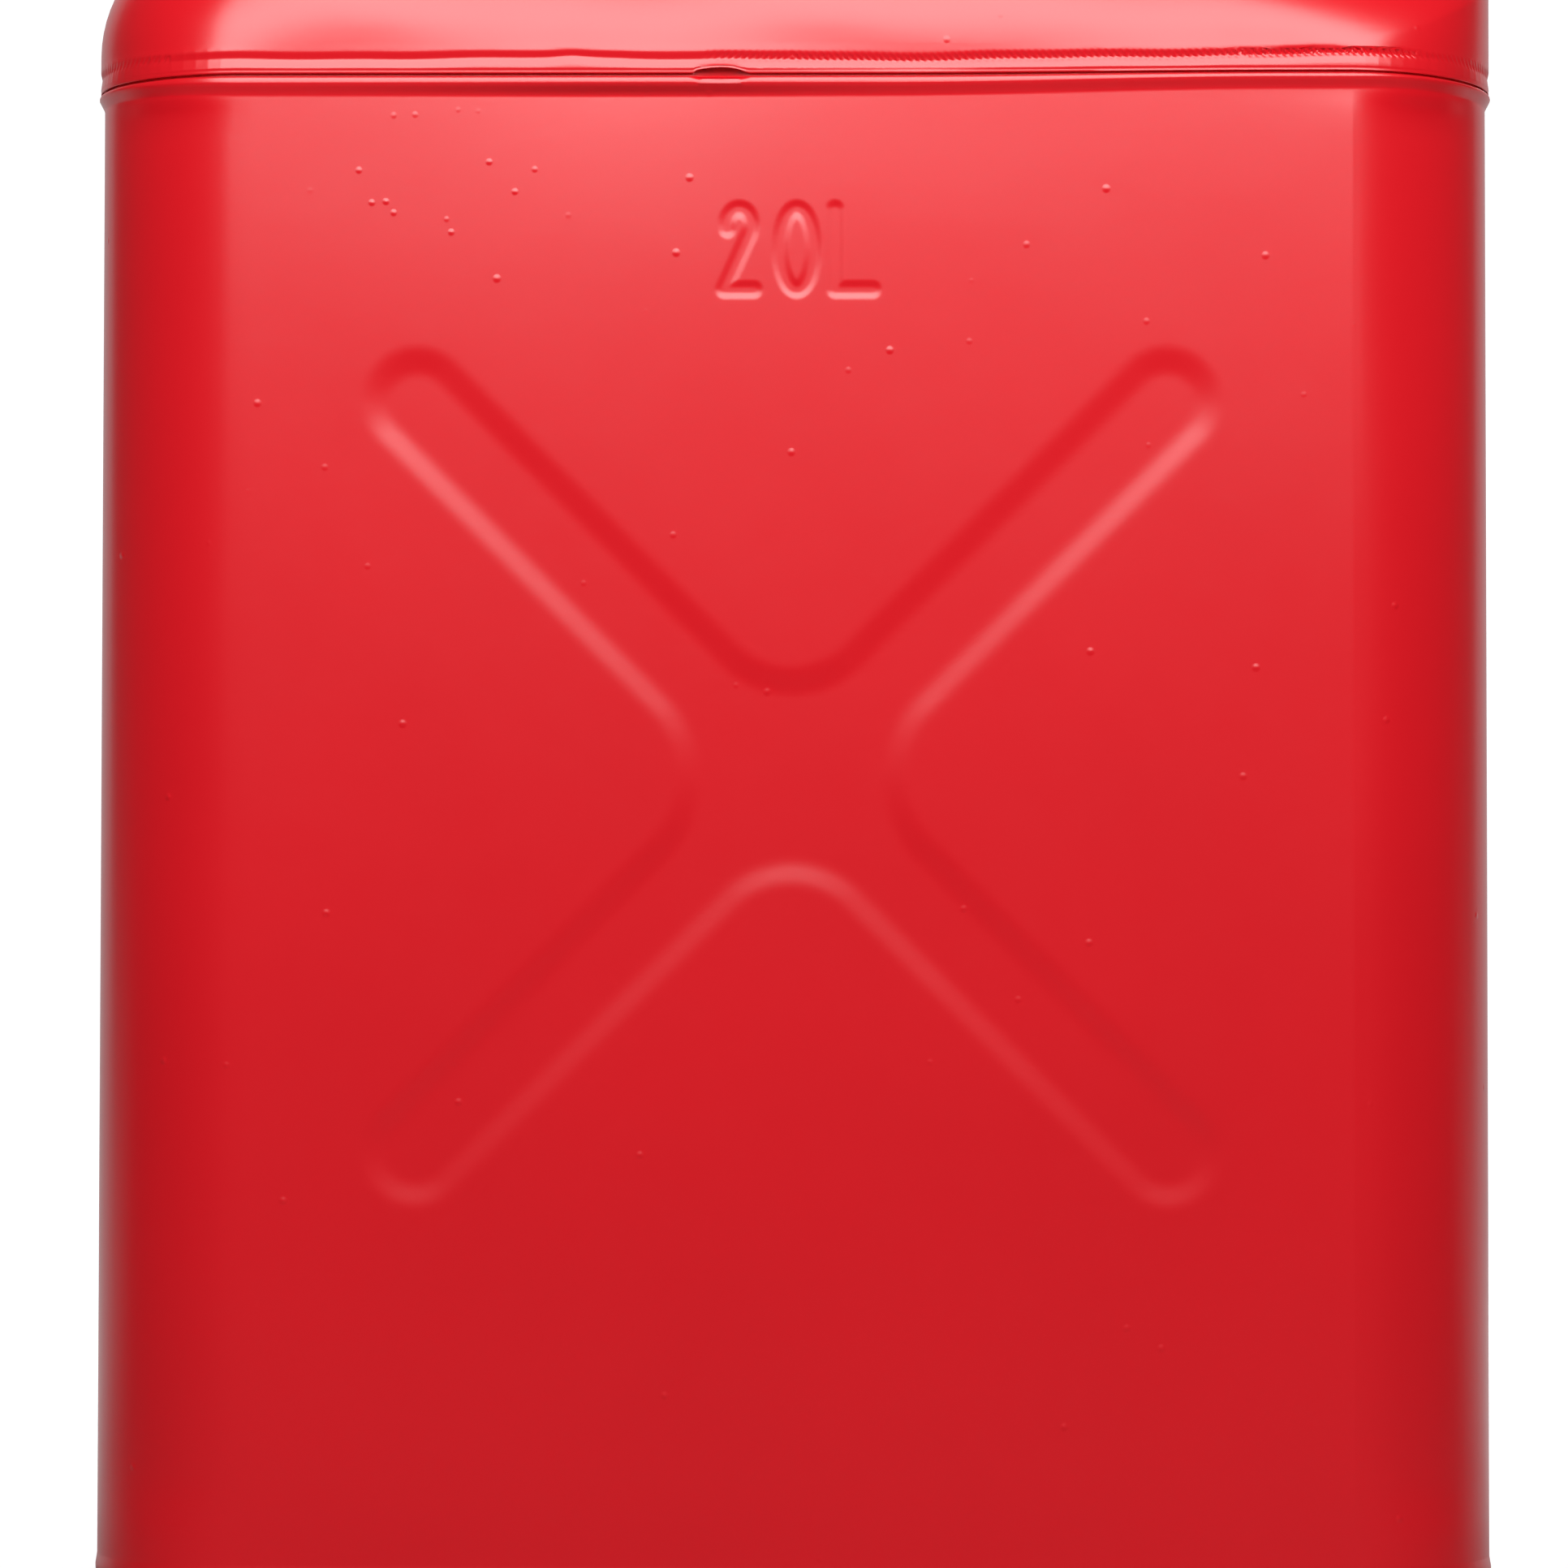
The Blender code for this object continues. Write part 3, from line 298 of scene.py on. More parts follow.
# Middle of the cluster of fine nibs, in a space that is squeezed along the can
NIB_SPOT = (-0.050, -0.081, 0.352)
NIB_SQUEEZE = (0.6, 1.0, 1.0)


def make_enamel(enamel, look):
    """Sprayed red enamel: cloudy colour, orange peel and dust nibs."""
    place = enamel.place()
    cloud = enamel.noise(place, 14.0, 3.0)
    peel = enamel.noise(place, 520.0, 1.0)
    mist = enamel.noise(place, 90.0)
    cell = enamel.node("TexVoronoi", {"Vector": place, "Scale": 62.0})
    nibs = 1.0 - enamel.limited(cell, 0.0, 0.075)
    fine_cell = enamel.node("TexVoronoi", {"Vector": place, "Scale": 150.0})
    squeezed = enamel.node("Mapping", {"Vector": place, "Scale": NIB_SQUEEZE})
    off_spot = enamel.node("VectorMath", {0: squeezed, 1: NIB_SPOT}, output="Value", operation="DISTANCE")
    cluster = 1.0 - enamel.limited(off_spot, 0.010, 0.024)
    fine_nibs = (1.0 - enamel.limited(fine_cell, 0.0, 0.15)) * cluster
    height = peel * look.peel + mist * (look.peel * 2.0) + nibs * look.nib + fine_nibs * look.nib
    colour = enamel.mixed(cloud, shade(look.enamel, 0.955), shade(look.enamel, 1.045))
    enamel.set(Base_Color=colour, Roughness=look.enamel_roughness + mist * 0.02 - 0.01,
               Specular_IOR_Level=look.enamel_specular, Normal=enamel.relief(height))


def make_zinc(zinc, look):
    """Zinc plate with a faint yellow passivation and fine turning marks."""
    place = zinc.place()
    stain = zinc.limited(zinc.noise(place, 160.0, 3.0), 0.35, 0.7)
    fine = zinc.noise(place, 1400.0)
    warm = (look.zinc[0], look.zinc[1] * 0.93, look.zinc[2] * 0.72, 1.0)
    zinc.set(Base_Color=zinc.mixed(stain, shade(look.zinc, 1.0), warm), Metallic=1.0,
             Roughness=0.27 + stain * 0.12 + fine * 0.06, Normal=zinc.relief(fine * 0.000004))


def make_rubber(rubber, look):
    """Moulded black rubber with a dusty bloom."""
    place = rubber.place()
    bloom = rubber.noise(place, 300.0, 4.0)
    grain = rubber.noise(place, 2500.0)
    rubber.set(Base_Color=rubber.mixed(bloom, shade(look.rubber, 0.8), shade(look.rubber, 1.8)),
               Roughness=0.62 + bloom * 0.2, Specular_IOR_Level=0.35, Normal=rubber.relief(grain * 0.00001))


def make_lining(lining, look):
    """Grey phosphate lining of the sheet's inner side."""
    mottle = lining.noise(lining.place(), 120.0, 5.0, 0.6)
    lining.set(Base_Color=lining.mixed(mottle, shade(look.lining, 0.7), shade(look.lining, 1.3)),
               Metallic=0.3, Roughness=0.5 + mottle * 0.15, Normal=lining.relief(mottle * 0.00002))


FINISH_MAKERS = {"red_enamel": make_enamel, "zinc_plate": make_zinc, "fuel_rubber": make_rubber,
                 "grey_lining": make_lining}


def finish_for(slot):
    """The finish of a material slot or of the lining, made when it is first asked for."""
    name = slot + "_finish"
    if name not in bpy.data.materials:
        FINISH_MAKERS[slot](Finish(bpy.data.materials.new(name)), bpy.context.scene.fuel_can.finishes)
    return bpy.data.materials[name]


# Modelling by hand, in code

def leave_edit():
    if bpy.context.object and bpy.context.object.mode != "OBJECT":
        bpy.ops.object.mode_set(mode="OBJECT")


def clear_selection():
    leave_edit()
    bpy.ops.object.select_all(action="DESELECT")


def enter_edit():
    bpy.ops.object.mode_set(mode="EDIT")
    bpy.ops.mesh.select_all(action="SELECT")


def activate(piece):
    """Makes a piece the active one, and the only one that is selected."""
    clear_selection()
    piece.select_set(True)
    bpy.context.view_layer.objects.active = piece


def add_piece(name, mesh):
    """Adds a mesh as the active piece."""
    piece = bpy.data.objects.new(name, mesh)
    bpy.context.scene.collection.objects.link(piece)
    activate(piece)


def add_block(half_x, half_y, low, high):
    """Box that the walls of the body, the cover or the pan are shaped from, in edit mode."""
    clear_selection()
    bpy.ops.mesh.primitive_cube_add(size=1.0, location=(0.0, 0.0, (low + high) / 2),
                                    scale=(2 * half_x, 2 * half_y, high - low))
    bpy.ops.object.transform_apply(location=True, rotation=False, scale=True)
    enter_edit()


def extrude(x, y, z):
    bpy.ops.mesh.extrude_region_move(TRANSFORM_OT_translate={"value": (x, y, z)})


def pick(kind, test):
    """Selects the vertices, edges or faces in edit mode that pass a test.

    The test takes the middles and the directions of all of them, each as an array of x, y and z.
    A direction is a normal, or an edge's own line.
    """
    bpy.context.tool_settings.mesh_select_mode = [kind == name for name in ("VERT", "EDGE", "FACE")]
    bpy.ops.mesh.select_all(action="DESELECT")
    shape = bmesh.from_edit_mesh(bpy.context.object.data)
    if kind == "EDGE":
        items = shape.edges
        ends = [[vertex.co for vertex in edge.verts] for edge in items]
        rows = [((start + end) / 2, (end - start).normalized()) for start, end in ends]
    elif kind == "FACE":
        items = shape.faces
        rows = [(face.calc_center_median(), face.normal) for face in items]
    else:
        items = shape.verts
        rows = [(vertex.co, vertex.normal) for vertex in items]
    for item, choose in zip(items, test(*np.array(rows).transpose(1, 2, 0))):
        item.select_set(bool(choose))
    shape.select_flush_mode()
    bmesh.update_edit_mesh(bpy.context.object.data)


def cut(axis, places):
    """Cuts the whole mesh in edit mode across one axis at each place."""
    across = Vector([float(axis == index) for index in range(3)])
    for place in places:
        bpy.ops.mesh.select_all(action="SELECT")
        bpy.ops.mesh.bisect(plane_co=across * float(place), plane_no=across)


def spread(low, high, step):
    """Evenly spaced places from low to high, about a step apart."""
    return np.linspace(low, high, max(int(round((high - low) / step)), 1) + 1)


def round_off(test, radius, segments, kind="EDGE", affect="EDGES"):
    """Rounds the edges or the vertices in edit mode that pass a test."""
    pick(kind, test)
    bpy.ops.mesh.bevel(offset=radius, offset_type="OFFSET", segments=segments, affect=affect)


def round_uprights(radius, segments):
    """Rounds the four upright edges of a block."""
    round_off(lambda at, along: np.abs(along[2]) > 0.9, radius, segments)


def drop_faces(test):
    """Deletes faces, and leaves their edges."""
    pick("FACE", test)
    bpy.ops.mesh.delete(type="ONLY_FACE")


def modify(kind, **settings):
    """Adds a modifier to the active piece and applies it."""
    bpy.ops.object.modifier_add(type=kind)
    modifier = bpy.context.object.modifiers[-1]
    for name, value in settings.items():
        setattr(modifier, name, value)
    bpy.ops.object.modifier_apply(modifier=modifier.name)


def reshape(mapping):
    """Moves every vertex of the active piece to where a mapping of its x, y and z takes it."""
    mesh = bpy.context.object.data
    places = np.empty(len(mesh.vertices) * 3)
    mesh.vertices.foreach_get("co", places)
    moved = mapping(*places.reshape(-1, 3).T)
    mesh.vertices.foreach_set("co", np.stack(moved, axis=1).ravel())
    mesh.update()


def close_up():
    """Merges doubles of the mesh in edit mode, and turns its faces outwards."""
    bpy.ops.mesh.select_all(action="SELECT")
    bpy.ops.mesh.remove_doubles(threshold=0.00002)
    bpy.ops.mesh.normals_make_consistent(inside=False)
    leave_edit()


def settle(name, nodes, body="can", slot="red_enamel", finishes=None, sharp=35.0):
    """Names the active piece, gives it its finishes, ties it to its body and hides the nodes that it stands in
    for.
    """
    piece = bpy.context.object
    piece.name = name
    piece.data.name = name
    piece.data.materials.clear()
    for finish in finishes or [slot]:
        piece.data.materials.append(finish_for(finish))
    activate(piece)
    bpy.ops.object.shade_smooth_by_angle(angle=math.radians(sharp))
    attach(piece, body)
    if nodes:
        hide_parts(*nodes)


def press_wall(mapping, name, node, rim=0, mouth=False):
    """Presses the block in edit mode into a lined sheet wall, and settles it."""
    leave_edit()
    reshape(mapping)
    modify("SOLIDIFY", thickness=SHEET, offset=-1.0, material_offset=1, material_offset_rim=rim)
    if mouth:
        cut_mouth()
    settle(name, [node], finishes=["red_enamel", "grey_lining"])


def smooth_rise(value):
    """Rises softly from 0 to 1 as the value does."""
    value = np.clip(value, 0.0, 1.0)
    return (1 - np.cos(np.pi * value)) / 2


def straight_rise(value):
    """Rises from 0 to 1 as the value does, straight in the middle half and rounded at both ends."""
    value = np.clip(value, 0.0, 1.0)
    foot = np.minimum(value, 0.25) ** 2 * 2
    middle = np.clip(value - 0.25, 0.0, 0.5)
    head = np.maximum(value - 0.75, 0.0)
    return (foot + middle + head - 2 * head ** 2) / 0.75


def hump(value):
    """Falls softly from 1 at 0 to 0 at 1 and beyond, on both sides."""
    return smooth_rise(1 - np.abs(value))


# Walls of body, cover and pan

# Gap that a piece is seated with, slopes of the weld track, rounding of a skirt's edge, height of its step
SEAT_GAP = 0.0003
LOWER_RUN, UPPER_RUN = 0.0023, 0.0016
EDGE_ROUND = 0.00015
STEP_DROP = 0.00125


def cut_flats(half_x, half_y, radius, step):
    """Cuts the flats between the rounded uprights into upright strips."""
    for axis, half in enumerate((half_x, half_y)):
        cut(axis, spread(radius - half, half - radius, step))


def shorten_edges(low, high, cuts, place=0.0, reach=1.0):
    """Cuts the level edges of a band into short ones, all round or near a place on the near face."""
    pick("EDGE", lambda at, along: (np.abs(along[2]) < 0.1) & (at[2] > low) & (at[2] < high)
         & (np.abs(at[0] - place) < reach) & ((at[1] < -0.05) | (reach > 0.5)))
    bpy.ops.mesh.subdivide(number_cuts=cuts)


def plan_of(x, y, half_x, half_y, radius):
    """Inner point, outward normal nx, ny and way round from a broad face's middle, on a rounded rectangle."""
    inner_x = np.clip(x, radius - half_x, half_x - radius)
    inner_y = np.clip(y, radius - half_y, half_y - radius)
    out_x = x - inner_x
    out_y = y - inner_y
    size = np.maximum(np.hypot(out_x, out_y), 1e-9)
    run = np.abs(inner_x) + radius * np.arctan2(np.abs(out_x), np.abs(out_y)) - np.abs(inner_y)
    return inner_x, inner_y, out_x / size, out_y / size, run


def track_offset(edge, run, x, nx, ny, skirt, line=0.0):
    """How far a skirt's surface lies outside its plain wall, by the height above the skirt's edge."""
    corner = 4 * nx ** 2 * ny ** 2
    near = ny < -0.9
    wander = np.sin(run * 83.0) * 0.6 + np.sin(run * 217.0 + 1.0) * 0.4
    wander += 1.6 * np.exp(-((x + 0.0537) / 0.004) ** 2) * near
    level = edge - skirt.drop - skirt.wander * wander - line
    stitched = 0.10 + 0.90 * smooth_rise((x + 0.024) / 0.008) + 0.8 * smooth_rise((x - 0.10) / 0.02)
    wave = 0.5 + 0.5 * np.cos(2 * np.pi * (run + 0.8 * level) / skirt.stitch_pitch)
    stitch = skirt.stitch_depth * np.where(near, stitched, 0.75) * wave
    below = np.clip(1 + level / LOWER_RUN, 0.0, 1.0)
    above = np.clip(1 - (level - 1.6 * stitch) / UPPER_RUN, 0.0, 1.0)
    depth = skirt.depth + (skirt.corner_depth - skirt.depth) * corner
    seam = -depth * np.where(level < 0, below, above) - stitch * hump(level / UPPER_RUN - 0.5)
    step = np.interp(edge, (EDGE_ROUND, STEP_DROP, STEP_DROP * 1.2), (0.0, 1.0, 0.0))
    seam -= skirt.step_depth * step * (1 - 0.7 * corner)
    return seam - 0.6 * EDGE_ROUND * hump((edge - skirt.edge) / EDGE_ROUND)


def seam_shift(drop, x, nx, ny, lines):
    """How far the seam and the bead lie above their places, by the drop from the seam's line."""
    rise, side = (np.interp(drop, line[0], line[1]) for line in lines)
    return rise * smooth_rise((x - 0.020) / 0.10) * ny ** 2 + side * np.abs(nx)


BEAD_LINES = (((-0.0055, -0.0005, 0.0, 0.0019, 0.0049, 0.014), (0.0, 0.0007, 0.0007, 0.0014, 0.0016, 0.0)),
              ((-0.0055, -0.0005, 0.0003, 0.0019, 0.0049, 0.014), (0.0, -0.0004, -0.0003, 0.0008, 0.0008, 0.0)))
EDGE_LINES = (((-0.0034, -0.0018, 0.0), (0.0, 0.0004, 0.0007)),
              ((-0.0034, -0.0018, 0.0), (0.0, -0.0003, -0.0004)))
TRACK_LINE = ((-0.150, -0.092, -0.052, -0.013, 0.026, 0.085, 0.125, 0.150),
              (0.0, 0.00025, 0.00045, 0.0, -0.00055, 0.0003, 0.0011, 0.0010))


def lens(x, ny, skirt):
    """Share, from 0 to 1, by which the lip stands open in one place of the near face."""
    part = np.clip((x - skirt.lift_place) / skirt.lift_half, -1.0, 1.0)
    return (1 - part ** 2) ** (0.75 + 0.30 * part) * (ny < -0.9)


# Body tube

# Size of the flats' cells, fillets between the cross's arms, widths of the mark's strokes and of the lap weld
CELL = 0.005
CROTCH_UPRIGHT, CROTCH_LEVEL = 0.021, 0.025
STROKE_FLOOR, STROKE_WALL = 0.0012, 0.0018
WELD_WIDTH = 0.0040


def cross_distance(x, z, body):
    """Distance from the middle line of the cross's wall, positive outside the cross."""
    along = np.abs(x + z) / math.sqrt(2)
    aside = np.abs(z - x) / math.sqrt(2)
    half = (body.cross_floor + body.cross_wall) / 2
    fillet = np.where(np.abs(z) > np.abs(x), CROTCH_UPRIGHT, CROTCH_LEVEL)
    rising_arm = np.hypot(np.maximum(along - body.cross_reach, 0), aside) - half
    falling_arm = np.hypot(np.maximum(aside - body.cross_reach, 0), along) - half
    in_crotch = (along < half + fillet) & (aside < half + fillet)
    rounded = fillet - np.hypot(along - half - fillet, aside - half - fillet)
    return np.where(in_crotch, rounded, np.minimum(rising_arm, falling_arm))


def arc(centre, radii, start, end, steps):
    """Points of an arc of an ellipse, from start to end in degrees."""
    turns = np.radians(np.linspace(start, end, steps + 1))
    return np.stack((centre[0] + radii[0] * np.cos(turns), centre[1] + radii[1] * np.sin(turns)), axis=1)


def mark_strokes(height):
    """Middle lines of the figures and the letter of the capacity mark, about the mark's middle."""
    half = height / 2
    two_middle = -height * 0.655
    bow = (height * 0.150, height * 0.200)
    foot = height * 0.185
    stem = height * 0.530
    two = np.concatenate((arc((two_middle, half - bow[1]), bow, 195.0, -35.0, 14),
                          [(two_middle - foot, -half), (two_middle + foot, -half)]))
    nought = arc((height * 0.058, 0.0), (height * 0.205, half), 0.0, 360.0, 36)
    ell = np.array([(stem, half), (stem, -half), (height * 0.995, -half)])
    return two, nought, ell


def mark_distance(x, z, ny, body):
    """Distance from the middle lines of the mark on the near face, and 1 away from it."""
    z = z - top_seam + body.mark_drop
    near = (ny < -0.9) & (np.abs(x) < 0.03) & (np.abs(z) < 0.02)
    point = np.stack((x[near], z[near]), axis=1)
    nearest = np.ones(len(point))
    for stroke in mark_strokes(body.mark_height):
        for start, end in zip(stroke, stroke[1:]):
            run = end - start
            part = np.clip(((point - start) @ run) / (run @ run), 0.0, 1.0)
            nearest = np.minimum(nearest, np.linalg.norm(point - start - part[:, None] * run, axis=1))
    distance = np.ones(x.shape)
    distance[near] = nearest
    return distance


# Shares of a bead's height below the edge beside it, and of its projection there
BEAD_LINE = ((0.062, 0.112, 0.224, 0.378, 0.440, 0.92, 1.0), (0.70, 0.85, 0.95, 1.0, 0.985, 0.05, 0.0))
BEAD_ROWS = np.array((0.062, 0.085, 0.112, 0.165, 0.224, 0.30, 0.378, 0.44, 0.60, 0.76, 0.92, 1.0))
LOWER_BEAD_ROWS = BEAD_ROWS[[0, 2, 6, 7, 10, 11]]


def bead_bulge(drop, projection, body):
    """How far a rolled bead stands out, by the drop from the skirt's edge beside it."""
    return projection * np.interp(drop / body.bead_height, *BEAD_LINE)


def crease_offset(x, z, nx, ny, body):
    """How the upright corners start in a crease, and how the flat curls up beside one of them."""
    away = smooth_rise((top_seam - 0.0045 - z) / 0.006) * smooth_rise((z - bottom_seam - 0.006) / 0.02)
    depth = body.crease * (1 + body.deeper * (x > 0) * smooth_rise((z - 0.27) / 0.06))
    dip = -2 * depth * np.abs(nx * ny) * ny ** 2
    beside = np.clip((face_half_x - body.corner_radius - x) / 0.012, 0.0, None)
    curl = body.curl * np.exp(-beside) * ny ** 2 * (x > 0) * smooth_rise(1.4 - np.abs(nx) * 3)
    return away * (dip + curl)


def press_body(x, y, z):
    """Beads, crosses, capacity mark, lap weld and unevenness of the body tube."""
    body = bpy.context.scene.fuel_can.body
    skirt = bpy.context.scene.fuel_can.skirt
    _, _, nx, ny, _ = plan_of(x, y, face_half_x, face_half_y, body.corner_radius)
    drop = top_seam - z
    open_lip = lens(x, ny, skirt)
    lowered = drop - 0.0006 * open_lip * smooth_rise((0.0040 - drop) / 0.0025)
    out = bead_bulge(lowered, body.bead_projection, body) * (drop < 1.1 * body.bead_height)
    out -= 0.0012 * open_lip * smooth_rise(1 - (drop - SEAT_GAP) / 0.0008)
    out += bead_bulge(z - bottom_seam, body.lower_bead, body)
    out = np.where(drop < 0.00025, -SEAT_GAP - 0.0014 * open_lip * (drop > -0.0010), out)
    out = np.where(z < bottom_seam + SEAT_GAP / 2, -SEAT_GAP - 0.0008, out)

    wall = cross_distance(x, body.cross_drop - drop, body) / body.cross_wall
    out -= (np.abs(ny) > 0.999) * body.cross_depth * straight_rise(0.5 - wall)
    stroke = mark_distance(x, z, ny, body)
    out -= body.mark_depth * straight_rise((STROKE_FLOOR / 2 + STROKE_WALL - stroke) / STROKE_WALL)

    inside = smooth_rise((z - bottom_seam - 0.010) / 0.03) * smooth_rise((drop - 0.010) / 0.03)
    waves = (np.sin(x * 41.0 + z * 17.0) + np.sin(z * 53.0 - x * 13.0 + 2.0)
             + np.sin((x + z) * 77.0 + y * 40.0) * 0.5)
    out += (np.abs(nx * ny) < 0.02) * inside * body.dent_depth * waves / 2.5
    out += crease_offset(x, z, nx, ny, body)
    leaning = np.exp(-((x + 0.040) / 0.050) ** 2 - drop / 0.035) * (ny < -0.9)
    out -= body.sag * leaning * smooth_rise(drop / body.bead_height * 1.6 - 0.6)
    weld = body.seam_rise * hump(y / WELD_WIDTH * 2) * (nx < -0.999)
    weld *= 1 + 0.25 * np.cos(2 * np.pi * z / skirt.stitch_pitch)
    out = np.where(out < -0.0002, out, np.minimum(out + weld, body.bead_projection))
    return x + nx * out, y + ny * out, z + seam_shift(drop, x, nx, ny, BEAD_LINES)


class FUEL_CAN_OT_body(Operator):
    """Adds the body tube with its beads, pressed crosses and capacity mark"""
    bl_idname = "fuel_can.body"
    bl_label = "Body tube"

    def execute(self, context):
        body = context.scene.fuel_can.body
        skirt = context.scene.fuel_can.skirt
        flat_x = face_half_x - body.corner_radius
        lower = bottom_seam + body.bead_height
        upper = top_seam - body.bead_height
        add_block(face_half_x, face_half_y, body_low.z, body_high.z)
        drop_faces(lambda at, normal: np.abs(normal[2]) > 0.5)
        round_uprights(body.corner_radius, 16)
        cut_flats(face_half_x, face_half_y, body.corner_radius, CELL)
        cut(0, (flat_x - 0.0005, flat_x + 0.0005, flat_x + 0.0014))
        cut(1, spread(-WELD_WIDTH / 2, WELD_WIDTH / 2, WELD_WIDTH / 6))
        cut(2, spread(lower, upper, CELL)[1:-1])
        cut(2, top_seam - BEAD_ROWS * body.bead_height)
        cut(2, (upper - 0.0004, upper - 0.0012, upper - 0.0028))
        cut(2, bottom_seam + LOWER_BEAD_ROWS * body.bead_height)
        cut(2, (bottom_seam, bottom_seam + 0.0001, top_seam - 0.0002, top_seam))
        shorten_edges(upper - 1e-5, 1.0, 5, skirt.lift_place, skirt.lift_half * 1.15)

        def near_wall(at, normal):
            wall = np.abs(cross_distance(at[0], at[2] - top_seam + body.cross_drop, body))
            return (np.abs(normal[1]) > 0.9) & (wall < body.cross_wall / 2 + 0.75 * CELL)

        pick("FACE", near_wall)
        bpy.ops.mesh.subdivide(number_cuts=3)
        for margin, cuts in ((0.7 * CELL, 3), (0.25 * CELL, 2)):
            reach = STROKE_FLOOR / 2 + STROKE_WALL + margin
            pick("FACE", lambda at, normal: mark_distance(at[0], at[2], normal[1], body) < reach)
            bpy.ops.mesh.subdivide(number_cuts=cuts)
        press_wall(press_body, "enamelled_body", "body_shell", rim=1)
        return {"FINISHED"}


# Top cover

COVER_CELL = 0.0045
BEND_HALF = 0.005
MOUTH_HOLE = 0.026
# Heights above the seam's line at which a skirt is cut
TRACK_ROWS = np.array((0.0, 0.08, 0.15, 0.85, 1.25, 1.5, 1.8, 2.1, 2.7, 3.3, 3.6, 3.9, 4.2, 4.5, 4.8, 5.1, 5.5,
                       5.9, 6.3, 6.9)) * 0.001


def crown_height(x, cover):
    """Height of the crown: level, a soft bend, then the slope that carries the mouth."""
    ramp = x - cover.slope_start
    bent = np.clip(ramp + BEND_HALF, 0.0, 2 * BEND_HALF) ** 2 / (4 * BEND_HALF)
    return crown_level - math.tan(MOUTH_TILT) * (bent + np.maximum(ramp - BEND_HALF, 0.0))


def press_cover(x, y, z):
    """Skirt with its weld track, shoulders and crown of the cover, from a rounded block."""
    settings = bpy.context.scene.fuel_can
    cover, skirt = settings.cover, settings.skirt
    half_x, half_y = cover_high.x, cover_high.y
    radius = settings.body.corner_radius + SHEET
    inner_x, inner_y, nx, ny, run = plan_of(x, y, half_x, half_y, radius)

    start = top_seam + cover.shoulder_rise
    in_skirt = z < start - 1e-6
    turn = np.pi / 2 * np.clip((z - start) / (crown_level - start), 0.0, 1.0)
    inset = 1 - np.cos(turn)
    x_low = -half_x + cover.shoulder_far * inset
    x_high = half_x - cover.shoulder_mouth * inset
    crown_radius = radius - (radius - cover.crown_corner) * inset
    part = (inner_x + half_x - radius) / (2 * (half_x - radius))
    spot_x = x_low + crown_radius + part * (x_high - x_low - 2 * crown_radius)
    spot_y = inner_y / (half_y - radius) * (half_y - cover.shoulder_side * inset - crown_radius)
    new_x = spot_x + (x - inner_x) * crown_radius / radius
    new_y = spot_y + (y - inner_y) * crown_radius / radius
    foot = start + (cover.mouth_wall_rise - cover.shoulder_rise) * np.maximum(nx, 0.0) ** 2
    foot += 0.0015 * np.minimum(nx, 0.0) ** 2
    new_z = np.where(in_skirt, z, foot + (crown_height(new_x, cover) - foot) * np.sin(turn))

    edge = z - top_seam
    line = np.interp(x, *TRACK_LINE) * np.minimum(ny, 0.0) ** 2
    out = in_skirt * track_offset(edge, run, x, nx, ny, skirt, line)
    new_z += seam_shift(-edge, x, nx, ny, EDGE_LINES)
    new_z += in_skirt * lens(x, ny, skirt) * skirt.lift * smooth_rise(1 - edge / 0.0032)
    buckle = np.sin(new_x * 61.0 + 1.4) + 0.7 * np.sin(new_x * 113.0 + 4.0 * turn + 0.6)
    out += cover.buckle * buckle * np.sin(2 * turn) * ny ** 2
    uneven = 1 + cover.uneven * np.cos(2 * np.pi * (new_x + 0.042) / 0.150)
    near_corner = np.clip((np.abs(inner_x) - (half_x - radius) + 0.017) / 0.017, 0.0, 1.0)
    turned_in = 0.0011 * near_corner ** 2 + 0.0040 * np.abs(nx * ny)
    leaning = 1 - np.exp(-np.maximum(edge - 0.0058, 0.0) / 0.014)
    out -= (cover.lean * uneven * np.cos(turn) + turned_in) * leaning * ny ** 2
    return new_x + nx * out, new_y + ny * out, new_z


def cut_mouth():
    """Cuts the hole that takes the neck through the active piece."""
    piece = bpy.context.object
    clear_selection()
    bpy.ops.mesh.primitive_cylinder_add(vertices=96, radius=MOUTH_HOLE, depth=0.03, location=mouth_place,
                                        rotation=(0.0, MOUTH_TILT, 0.0))
    cutter = bpy.context.object
    activate(piece)
    modify("BOOLEAN", object=cutter, operation="DIFFERENCE")
    bpy.data.objects.remove(cutter)


class FUEL_CAN_OT_cover(Operator):
    """Adds the top cover with its weld track, shoulders and sloped crown"""
    bl_idname = "fuel_can.cover"
    bl_label = "Top cover"

    def execute(self, context):
        settings = context.scene.fuel_can
        skirt = settings.skirt
        radius = settings.body.corner_radius + SHEET
        start = top_seam + settings.cover.shoulder_rise
        add_block(cover_high.x, cover_high.y, top_seam + skirt.edge, crown_level)
        drop_faces(lambda at, normal: normal[2] < -0.5)
        round_uprights(radius, 18)
        cut_flats(cover_high.x, cover_high.y, radius, COVER_CELL)
        cut(2, spread(start, crown_level, (crown_level - start) / 24))
        cut(2, top_seam + TRACK_ROWS[1:] + skirt.edge * (TRACK_ROWS[1:] < 0.0003))
        cut(2, (start - 0.0006,))
        shorten_edges(top_seam + 0.0014, top_seam + 0.0066, 9)
        shorten_edges(top_seam - SHEET, top_seam + 0.0014, 9, skirt.lift_place, skirt.lift_half * 1.15)
        press_wall(press_cover, "enamelled_cover", "top_cover", mouth=True)
        return {"FINISHED"}


# Bottom pan

